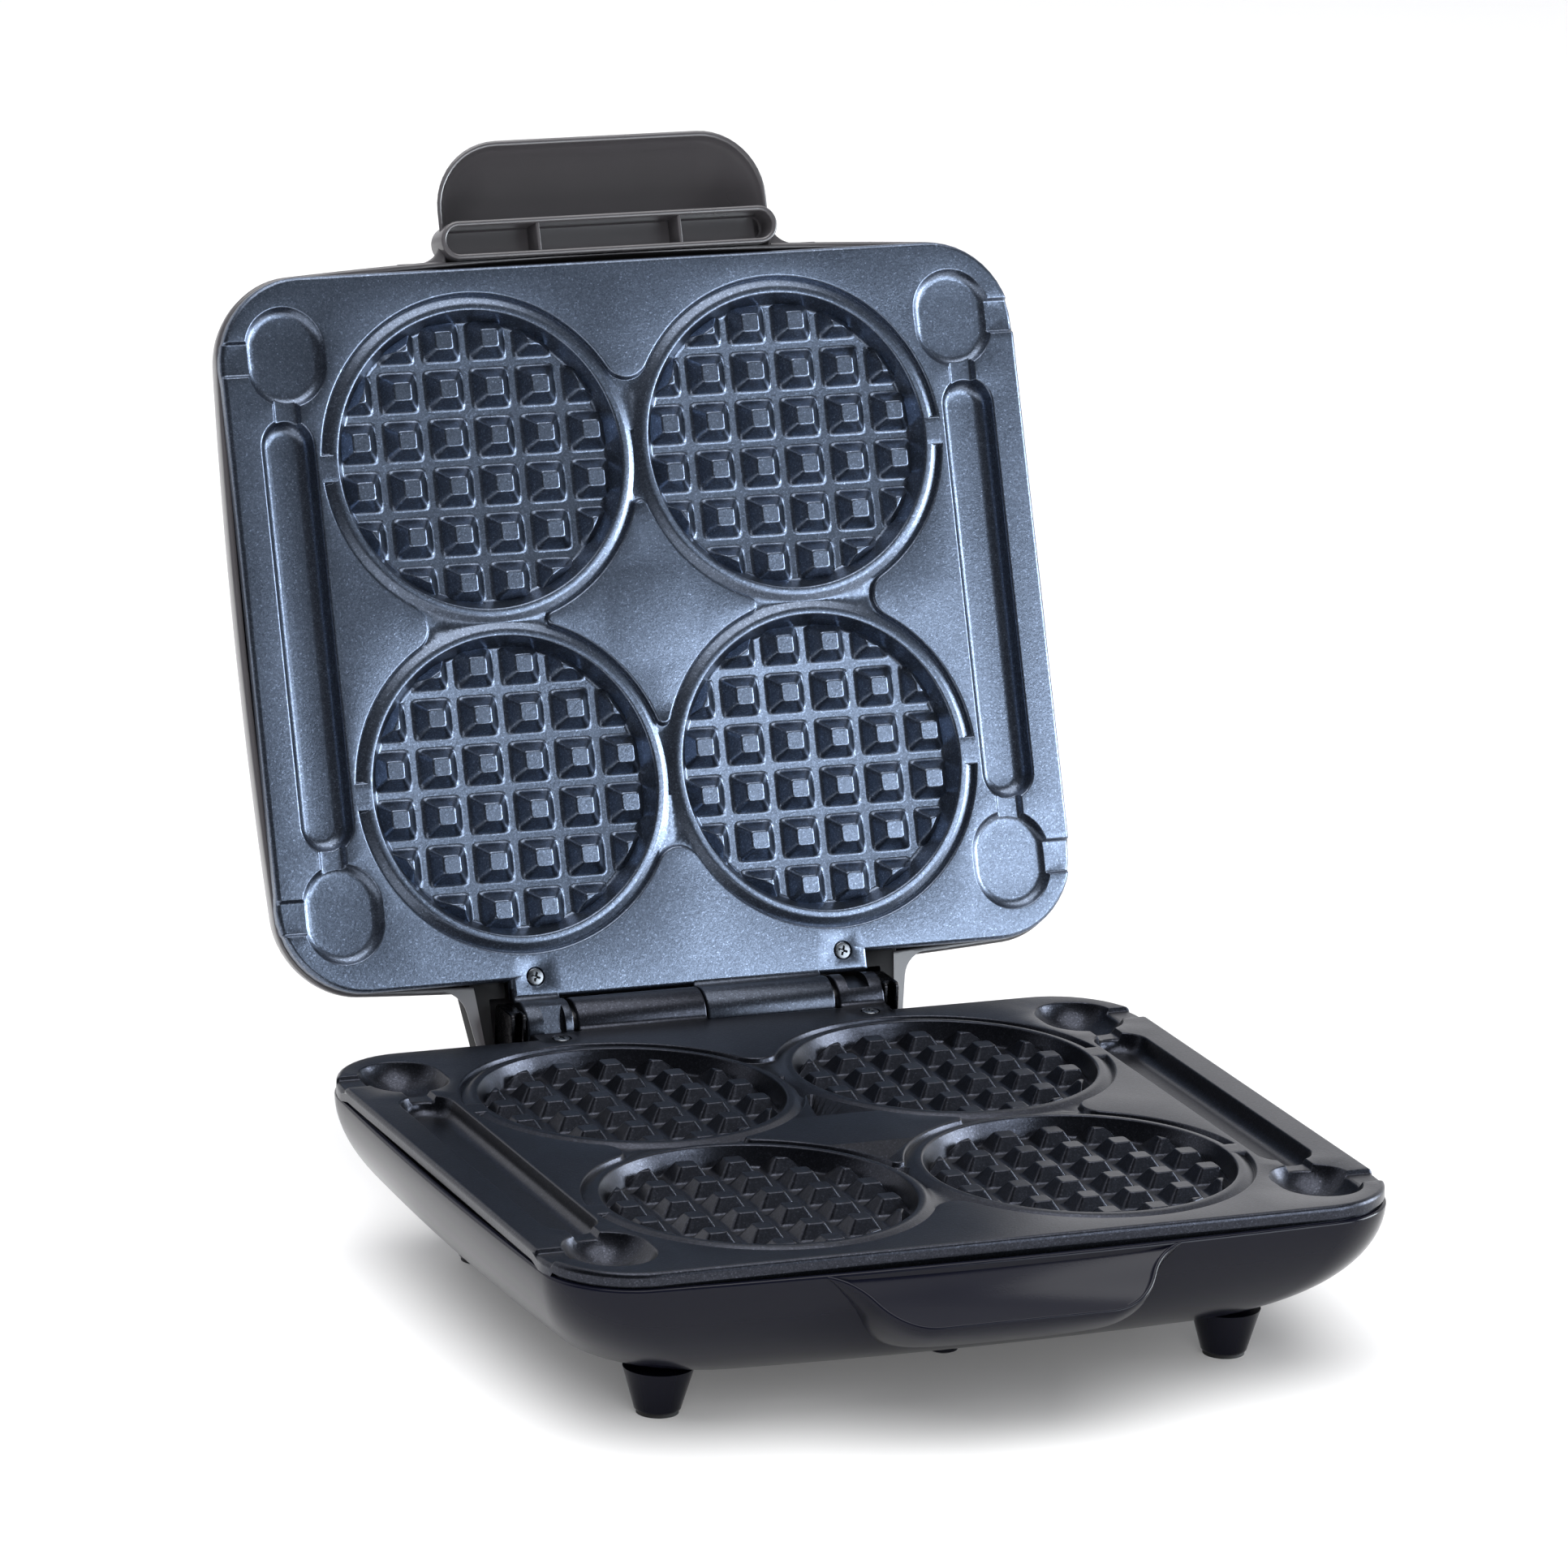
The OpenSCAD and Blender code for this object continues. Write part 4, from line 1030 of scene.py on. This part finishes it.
def grip_outline(inset, z, hollow=False):
    """Plan of the grip: a D that runs into the lid through hollow fillets."""
    share = max(0.0, (z - GRIP_RIM) / (GRIP_TOP - GRIP_RIM))
    w = 1 - sqrt(max(0, 1 - min(1.0, share * 0.995) ** 1.12))
    half = GRIP_HALF - inset - 5.0 * w - GRIP_DRAFT * max(0.0, z - GRIP_RIM)
    front = GRIP_FRONT + inset + 32.0 * w
    corner = GRIP_CORNER - inset * 0.8 - 10.0 * w
    if hollow:
        right = [(half, front, corner), (half + 1.0, GRIP_WALL, 0.4)]
    else:
        wing = -(SHELL_HALF_D - bowl_inset(z - RIM_DROP)) + 1.4
        reach = half + GRIP_FLARE + 8
        right = [(half, front, corner), (half, wing, GRIP_FLARE - inset * 0.2)]
        right += [(reach, wing, 0.3), (reach, GRIP_ROOT, 0.3)]
    left = [(-x, y, r) for x, y, r in right]
    return filleted([left[0], *right, *left[:0:-1]], step=1e9, turn=7.5)[0]


def grip_rings(hollow):
    rings = []
    if hollow:
        rings.append(raised(grip_outline(1.5, 5, True), -3))
        for a in (0, 30, 60, 90):
            t = radians(a)
            plan = grip_outline(1.5 + 0.8 * sin(t), 5, True)
            rings.append(raised(plan, 6.0 + 0.8 * (1 - cos(t))))
        top = GRIP_TOP - 2.4
        for k in range(1, 19):
            z = 6.8 + (top - 6.8) * sin(pi / 2 * k / 18)
            rings.append(raised(grip_outline(2.3, z + 2.4 * k / 18, True), z))
        return rings
    for a in (0, 30, 60):
        t = radians(a)
        rings.append(raised(grip_outline(0.9 * (1 - sin(t)), 6), 6.0 + 0.9 * (1 - cos(t))))
    for k in range(0, 19):
        z = 6.9 + (GRIP_TOP - 6.9) * sin(pi / 2 * k / 18)
        rings.append(raised(grip_outline(0, z), z))
    return rings


HOUSING_BACK, HOUSING_TOP, HOUSING_ROOT = 155.6, 34.0, 100


def housing_rings(shrink, low):
    rings = []
    count = 14
    top = HOUSING_TOP - shrink
    for k in range(-1 if low < RIM_DROP else 0, count + 1):
        s = max(0, k) / count
        z = low if k < 0 else RIM_DROP + (top - RIM_DROP) * sin(pi / 2 * s)
        share = max(0.0, (z - RIM_DROP) / (top - RIM_DROP))
        w = 1 - sqrt(max(0, 1 - (0.985 * share) ** 2))
        side = 83.6 - shrink - 0.33 * max(0.0, z - RIM_DROP)
        back = HOUSING_BACK - shrink - 26.0 * w
        wing = SHELL_HALF_D - bowl_inset(z - RIM_DROP) - 3.2 - shrink
        reach = side + 16
        if shrink:
            right = [(side, HOUSING_ROOT, 0.3), (side - 5.4, back, 6)]
        else:
            right = [(reach, HOUSING_ROOT, 0.3), (reach, wing, 0.3)]
            right += [(side, wing, 10), (side - 5.6, back, 8)]
        left = [(-x, y, r) for x, y, r in right]
        corners = [left[0], *right, *left[:0:-1]]
        rings.append(raised(filleted(corners, step=1e9, turn=9)[0], z))
    return rings


FRAME_Y, FRAME_W, FRAME_LEN, FRAME_LOW, FRAME_HIGH = -134.3, 13.6, 126.0, 1.5, 12.0
RIB_X = 26.5
RIB_SECTION = ((0.45, 2.45), (0.8, 2.6), (1, 3.0), (1, FRAME_HIGH))
LENS_Y, LENS_R = -40.0, 5.0


def lid_shell():
    lid = turned(loft_object(bowl_solid(0)), FLIP)
    slot_ring = obround(0, FRAME_Y, FRAME_W - 1.2, FRAME_LEN - 1.2, along_x=True)[0]
    steps = [
        ("+", loft_object(grip_rings(False))),
        ("+", loft_object(housing_rings(0, RIM_DROP))),
        ("-", turned(loft_object(bowl_solid(WALL)), FLIP)),
        ("-", loft_object(grip_rings(True))),
        ("-", loft_object(housing_rings(WALL, RIM_DROP - 3))),
        ("-", loft_object([raised(slot_ring, z) for z in (-2, FRAME_HIGH)])),
        ("-", rod(0, LENS_Y, SHELL_H - 10, SHELL_H + 8, LENS_R)),
    ]
    combine(lid, *steps)
    finish_piece(lid, "lid_shell_visual", look(LID, "lid_graphite"), ("lid_shell",), sharp=32)


def handle_frame():
    """Raised ring between plate and grip, with two ribs across it and a floor behind."""
    soup = Soup()
    wall, edge = 2.0, 0.75

    def ring(inset, z):
        p, n = obround(0, FRAME_Y, FRAME_W, FRAME_LEN, along_x=True, segments=28)
        return raised(p - n * inset, z)

    rings = [ring(0.25, FRAME_HIGH + 1.5), ring(0, FRAME_LOW + edge)]
    for a in (30, 60, 90):
        t = radians(a)
        rings.append(ring(edge * (1 - cos(t)), FRAME_LOW + edge * (1 - sin(t))))
    for a in (90, 60, 30, 0):
        t = radians(a)
        rings.append(ring(wall - edge * (1 - cos(t)), FRAME_LOW + edge * (1 - sin(t))))
    rings.append(ring(wall + 0.35, FRAME_HIGH - 0.6))
    rings.append(ring(wall + 0.9, FRAME_HIGH))
    soup.grid(rings[::-1], cap_first=True, cap_last=True)
    for s in (-1, 1):
        x = s * RIB_X
        half = FRAME_W / 2 - wall + 0.3
        plan = filleted(
            [(x - 0.7, FRAME_Y - half, 0.05), (x + 0.7, FRAME_Y - half, 0.05),
             (x + 0.7, FRAME_Y + half, 0.05), (x - 0.7, FRAME_Y + half, 0.05)], step=1e9, turn=45,
        )[0]
        mid = plan.mean(0)
        soup.grid(
            [raised(mid + (plan - mid) * [w, 1], z) for w, z in RIB_SECTION],
            cap_first=True, cap_last=True,
        )
    soup.piece("handle_frame_visual", look(LID, "lid_graphite"), ("handle_frame",), sharp=40)


def arm_block(s, name, node_name):
    """Black block that closes the hollow of a hinge arm."""
    x0, x1, x2 = 66.9, 80.6, 73.3
    y0, y1, y2 = 122.5, 129.5, 150.0
    plan = filleted(
        [(x0, y0, 1.0), (x1, y0, 1.8), (x1 - 4.4, y2, 1.2), (x2, y2, 1.2),
         (x2, y1, 0.5), (x0, y1, 0.5)], step=1e9, turn=15,
    )[0]
    rings = []
    for inset, z in ((0.6, 5.9), (0.2, 6.1), (0, 6.5), (0, 20)):
        mid = plan.mean(0)
        rings.append(raised(mid + (plan - mid) * (1 - inset / 6), z))
    body = loft_object(rings)
    if s < 0:
        turned(body, Matrix.Diagonal((-1, 1, 1, 1)))
    finish_piece(body, name, look(LID, "black_plastic"), (node_name,), sharp=30)


# ---------------------------------------------------------------- materials


def new_material(name):
    mat = bpy.data.materials.new(name)
    mat.use_nodes = True
    tree = mat.node_tree
    return mat, tree, tree.nodes["Principled BSDF"]


def link(tree, a, out, b, into):
    tree.links.new(a.outputs[out], b.inputs[into])


def node(tree, kind, **inputs):
    n = tree.nodes.new(kind)
    for key, value in inputs.items():
        n.inputs[key.replace("_", " ")].default_value = value
    return n


def object_coords(tree):
    return tree.nodes.new("ShaderNodeTexCoord")


def ramp(tree, stops):
    r = tree.nodes.new("ShaderNodeValToRGB")
    while len(r.color_ramp.elements) < len(stops):
        r.color_ramp.elements.new(0.5)
    for e, (at, colour) in zip(r.color_ramp.elements, stops):
        e.position = at
        e.color = (*colour, 1) if len(colour) == 3 else colour
    return r


def add_bump(tree, shader, source, out, strength, distance):
    b = node(tree, "ShaderNodeBump", Strength=strength, Distance=distance)
    link(tree, source, out, b, "Height")
    link(tree, b, "Normal", shader, "Normal")


def noise(tree, coords, scale, detail=4, rough=0.5):
    n = node(tree, "ShaderNodeTexNoise", Scale=scale, Detail=detail, Roughness=rough)
    link(tree, coords, "Object", n, "Vector")
    return n


def cell_tones(tree, coords, scale):
    """One random tone per small grain."""
    cells = node(tree, "ShaderNodeTexVoronoi", Scale=scale)
    link(tree, coords, "Object", cells, "Vector")
    split = tree.nodes.new("ShaderNodeSeparateColor")
    link(tree, cells, "Color", split, "Color")
    return split


def colour_mix(tree, kind):
    """Colour mix at full strength: inputs 6 and 7, output 2."""
    mix = tree.nodes.new("ShaderNodeMix")
    mix.data_type = "RGBA"
    mix.blend_type = kind
    mix.inputs[0].default_value = 1.0
    return mix


def glitter_material(name, tone, metallic=0.94, rough=0.3, grain=1900.0):
    """Sprayed non-stick coating: each grain has its own tone and a few are bright flakes."""
    mat, tree, shader = new_material(name)
    co = object_coords(tree)
    colour = None
    for scale, stops in (
        (grain, [(0.0, 0.8), (0.85, 1.12), (0.95, 1.3), (1.0, 1.8)]),
        (grain * 1.7, [(0.0, 0.84), (0.9, 1.12), (1.0, 1.6)]),
    ):
        split = cell_tones(tree, co, scale)
        level = ramp(tree, [(at, (v / 4,) * 3) for at, v in stops])
        link(tree, split, "Red", level, "Fac")
        mix = colour_mix(tree, "MULTIPLY")
        if colour is None:
            mix.inputs[6].default_value = (*[c * 16 for c in tone], 1)
        else:
            tree.links.new(colour, mix.inputs[6])
        link(tree, level, "Color", mix, 7)
        colour = mix.outputs[2]
    tree.links.new(colour, shader.inputs["Base Color"])
    shader.inputs["Metallic"].default_value = metallic
    shine = noise(tree, co, 30, 3)
    gloss = ramp(tree, [(0.3, (rough * 0.93,) * 3), (0.7, (rough * 1.07,) * 3)])
    link(tree, shine, "Fac", gloss, "Fac")
    link(tree, gloss, "Color", shader, "Roughness")
    fine = noise(tree, co, 1100, 3, 0.6)
    add_bump(tree, shader, fine, "Fac", 0.22, 0.0002)
    return mat


def plastic_material(name, low, high, rough, bump=0.05, coat=0.0, level=0.5):
    """Moulded plastic: slight tone changes and a fine surface grain."""
    mat, tree, shader = new_material(name)
    co = object_coords(tree)
    cloud = noise(tree, co, 60, 4)
    base = ramp(tree, [(0.1, low), (0.9, high)])
    link(tree, cloud, "Fac", base, "Fac")
    link(tree, base, "Color", shader, "Base Color")
    smudge = noise(tree, co, 18, 3)
    shine = ramp(tree, [(0.1, (rough * 0.85,) * 3), (0.9, (rough * 1.15,) * 3)])
    link(tree, smudge, "Fac", shine, "Fac")
    link(tree, shine, "Color", shader, "Roughness")
    shader.inputs["Specular IOR Level"].default_value = level
    shader.inputs["Coat Weight"].default_value = coat
    shader.inputs["Coat Roughness"].default_value = 0.06
    fine = noise(tree, co, 1200, 2, 0.6)
    add_bump(tree, shader, fine, "Fac", bump, 0.0002)
    return mat


def metal_material(name, low, high, rough, brushed=(1, 1, 1), bump=0.08):
    mat, tree, shader = new_material(name)
    co = object_coords(tree)
    stretch = tree.nodes.new("ShaderNodeMapping")
    stretch.inputs["Scale"].default_value = brushed
    link(tree, co, "Object", stretch, "Vector")
    lines = node(tree, "ShaderNodeTexNoise", Scale=400.0, Detail=4.0)
    link(tree, stretch, "Vector", lines, "Vector")
    base = ramp(tree, [(0.3, low), (0.7, high)])
    link(tree, lines, "Fac", base, "Fac")
    link(tree, base, "Color", shader, "Base Color")
    shine = ramp(tree, [(0.3, (rough * 0.8,) * 3), (0.7, (rough * 1.3,) * 3)])
    link(tree, lines, "Fac", shine, "Fac")
    link(tree, shine, "Color", shader, "Roughness")
    shader.inputs["Metallic"].default_value = 1.0
    add_bump(tree, shader, lines, "Fac", bump, 0.0002)
    return mat


# Each finish: its maker, its darker and lighter tones, its roughness, and what else differs
FINISHES = {
    "base_gloss": (
        plastic_material, (0.0040, 0.0044, 0.0098), (0.0048, 0.0053, 0.0112), 0.18, {"level": 0.15}
    ),
    "black_plastic": (
        plastic_material, (0.008, 0.008, 0.009), (0.011, 0.011, 0.012), 0.5, {"level": 0.12}
    ),
    # nonstick_lower and nonstick_upper are one coating in a shaded and a lit copy: the lower plate's far darker
    # tone is painted shade
    "nonstick_lower": (glitter_material, (0.026, 0.028, 0.036), {}),
    "nonstick_upper": (glitter_material, (0.100, 0.122, 0.165), {}),
    # The upper barrels' coating: nonstick_upper's tone darkened as painted shade
    "nonstick_hinge": (glitter_material, (0.040, 0.046, 0.060), {}),
    "lid_graphite": (
        plastic_material, (0.060, 0.057, 0.062), (0.067, 0.064, 0.070), 0.3,
        {"bump": 0.07, "level": 0.6, "coat": 0.15},
    ),
    "element_steel": (metal_material, (0.30, 0.29, 0.28), (0.45, 0.44, 0.43), 0.45, {}),
    "clip_steel": (metal_material, (0.55, 0.55, 0.56), (0.72, 0.72, 0.73), 0.3, {}),
    "reflector_aluminium": (metal_material, (0.6, 0.6, 0.62), (0.8, 0.8, 0.82), 0.28, {}),
    "screw_steel": (metal_material, (0.5, 0.5, 0.52), (0.7, 0.7, 0.72), 0.25, {}),
    "dark_steel": (metal_material, (0.10, 0.11, 0.12), (0.20, 0.21, 0.23), 0.28, {}),
    "black_steel": (metal_material, (0.018, 0.018, 0.020), (0.030, 0.030, 0.033), 0.24, {}),
    "hinge_steel": (metal_material, (0.4, 0.4, 0.42), (0.6, 0.6, 0.62), 0.3, {"brushed": (1, 8, 8)}),
    "ceramic": (plastic_material, (0.62, 0.59, 0.52), (0.72, 0.69, 0.62), 0.6, {"bump": 0.2}),
    "wire_sleeve": (plastic_material, (0.020, 0.020, 0.021), (0.032, 0.032, 0.034), 0.5, {"bump": 0.2}),
    "pad_rubber": (plastic_material, (0.012, 0.012, 0.012), (0.02, 0.02, 0.02), 0.7, {"bump": 0.3}),
    "thermostat_body": (plastic_material, (0.06, 0.035, 0.02), (0.09, 0.05, 0.03), 0.5, {}),
    "lamp_glass": (plastic_material, (0.7, 0.35, 0.2), (0.8, 0.45, 0.25), 0.15, {"bump": 0.02}),
    "lens_red": (plastic_material, (0.4, 0.02, 0.015), (0.5, 0.03, 0.02), 0.15, {"bump": 0.02, "coat": 1}),
}
MATS = {
    name: make(name, *tones, **extra) for name, (make, *tones, extra) in FINISHES.items()
}


def paint_cad():
    """Every carried-over CAD node takes the material of its own slot."""
    for name, obj in frame["nodes"].items():
        obj.data.materials.clear()
        obj.data.materials.append(MATS[SLOTS[name]])


# ---------------------------------------------------------------- stage


CAMERA_X, CAMERA_Y, CAMERA_Z = -1175.1, -2751.24, 940.04
YAW, PITCH, ROLL = 22.61, -15.36, 1.81
LENS, SENSOR = 215.27, 36.0


def make_camera():
    data = bpy.data.cameras.new("camera")
    cam = new_object("camera", data)
    yaw, pitch, roll = (radians(a) for a in (YAW, PITCH, ROLL))
    fwd = Vector((sin(yaw) * cos(pitch), cos(yaw) * cos(pitch), sin(pitch)))
    right = fwd.cross(Vector((0, 0, 1))).normalized()
    up = right.cross(fwd)
    r2 = right * cos(roll) + up * sin(roll)
    u2 = -right * sin(roll) + up * cos(roll)
    rot = Matrix((r2, u2, -fwd)).transposed().to_4x4()
    here = Vector((CAMERA_X * MM, CAMERA_Y * MM + BASE_Y_M, CAMERA_Z * MM + FACE_Z_M))
    cam.matrix_world = Matrix.Translation(here) @ rot
    data.lens, data.sensor_width = LENS, SENSOR
    data.clip_start, data.clip_end = 0.1, 50
    bpy.context.scene.camera = cam


def area_light(name, at, target, size, power, colour=(1, 1, 1), only=""):
    """Soft panel: only="shine" shows in reflections alone, only="wash" lights without them."""
    data = bpy.data.lights.new(name, "AREA")
    data.shape = "RECTANGLE"
    data.size, data.size_y = size, size
    data.energy, data.color = power, colour
    obj = new_object(name, data)
    obj.visible_diffuse = only != "shine"
    obj.visible_glossy = only != "wash"
    obj.location = at
    obj.rotation_euler = (Vector(target) - Vector(at)).to_track_quat("-Z", "Y").to_euler()


def make_world():
    """Pale backdrop behind the object and a dim room in front of it."""
    world = bpy.data.worlds.new("studio")
    world.use_nodes = True
    tree = world.node_tree
    co = object_coords(tree)
    split = tree.nodes.new("ShaderNodeSeparateXYZ")
    link(tree, co, "Generated", split, "Vector")
    half = tree.nodes.new("ShaderNodeMapRange")
    half.inputs["From Min"].default_value = -1.0
    link(tree, split, "Y", half, "Value")
    dim, dusk, bright = (0.03, 0.032, 0.04), (0.035, 0.037, 0.045), (1.1, 1.1, 1.13)
    depth = ramp(tree, [(0.0, dim), (0.54, dusk), (0.68, bright)])
    link(tree, half, "Result", depth, "Fac")
    back = tree.nodes["Background"]
    link(tree, depth, "Color", back, "Color")
    back.inputs["Strength"].default_value = 1.0
    bpy.context.scene.world = world


def make_stage():
    scene = bpy.context.scene
    make_world()
    scene.view_settings.view_transform = "Standard"
    mesh = bpy.data.meshes.new("floor")
    s = 30.0
    mesh.from_pydata([(-s, -s, 0), (s, -s, 0), (s, s, 0), (-s, s, 0)], [], [(0, 1, 2, 3)])
    floor = new_object("floor", mesh)
    mat, _, shader = new_material("floor_paper")
    shader.inputs["Base Color"].default_value = (0.9, 0.9, 0.9, 1)
    shader.inputs["Roughness"].default_value = 0.9
    shader.inputs["Specular IOR Level"].default_value = 0.1
    shader.inputs["Emission Color"].default_value = (1, 1, 1, 1)
    shader.inputs["Emission Strength"].default_value = 0.10
    mesh.materials.append(mat)
    area_light("top", (-0.4, -0.6, 3.0), (0, 0, 0), 4.4, 180, only="wash")
    area_light("top_card", (0.3, -0.3, 3.0), (0, 0, 0), 2.4, 70, only="shine")
    area_light("front", (-0.6, -2.5, 1.2), (0, 0, 0.1), 1.6, 26, only="wash")
    cool = (0.86, 0.93, 1.0)
    area_light("strip", (1.15, -0.25, 0.32), (0, 0.1, 0.2), 0.6, 21, cool, only="shine")
    area_light("card", (0.66, -0.92, 0.34), (0, 0.1, 0.15), 0.6, 9.0, cool, only="shine")


paint_cad()
make_camera()
make_stage()
# The lower plate, its pegs, rib and barrels take the coating darkened as painted shade
NONSTICK_LOW_PAINTED_SHADE, NONSTICK_UP = look(BASE, "nonstick_lower"), look(LID, "nonstick_upper")
LOWER, UPPER = ("lower_cooking_plate",), ("upper_cooking_plate",)
cooking_plate("lower_plate_visual", True, NONSTICK_LOW_PAINTED_SHADE, LOWER)
cooking_plate("upper_plate_visual", False, NONSTICK_UP, UPPER)
waffle_pegs("lower_pegs", NONSTICK_LOW_PAINTED_SHADE, LOWER)
waffle_pegs("upper_pegs", NONSTICK_UP, UPPER)
plate_rib("lower_plate_rib", NONSTICK_LOW_PAINTED_SHADE, LOWER)
plate_rib("upper_plate_rib", NONSTICK_UP, UPPER)
base_shell()
scoop()
feet()
hinge_half(
    "lower_hinge_half", -HINGE_DROP, ((-48.0, -0.25), (49.5, 66.5)), (53.5, 61.5),
    NONSTICK_LOW_PAINTED_SHADE, LOWER,
)
# The upper barrels take the lid plate's coating darkened as painted shade
hinge_half(
    "upper_hinge_half", HINGE_DROP + PLATE_GAP, ((0.25, 48.0), (-66.5, -49.5)), (-60.6, -52.5),
    look(LID, "nonstick_upper", "nonstick_hinge"), UPPER,
)
for s, side in ((-1, "left"), (1, "right")):
    x = s * HINGE_SCREW_X
    cross_screw("upper_screw_" + side, x, HINGE_SCREW_Y, LID, ("upper_hinge_screws",))
    cross_screw("lower_screw_" + side, x, HINGE_SCREW_Y, BASE, ("lower_hinge_screws",))
    hinge_clip(s, "hinge_clip_" + side)
    arm_block(s, "arm_block_" + side, "arm_cover_" + side)
lid_shell()
handle_frame()
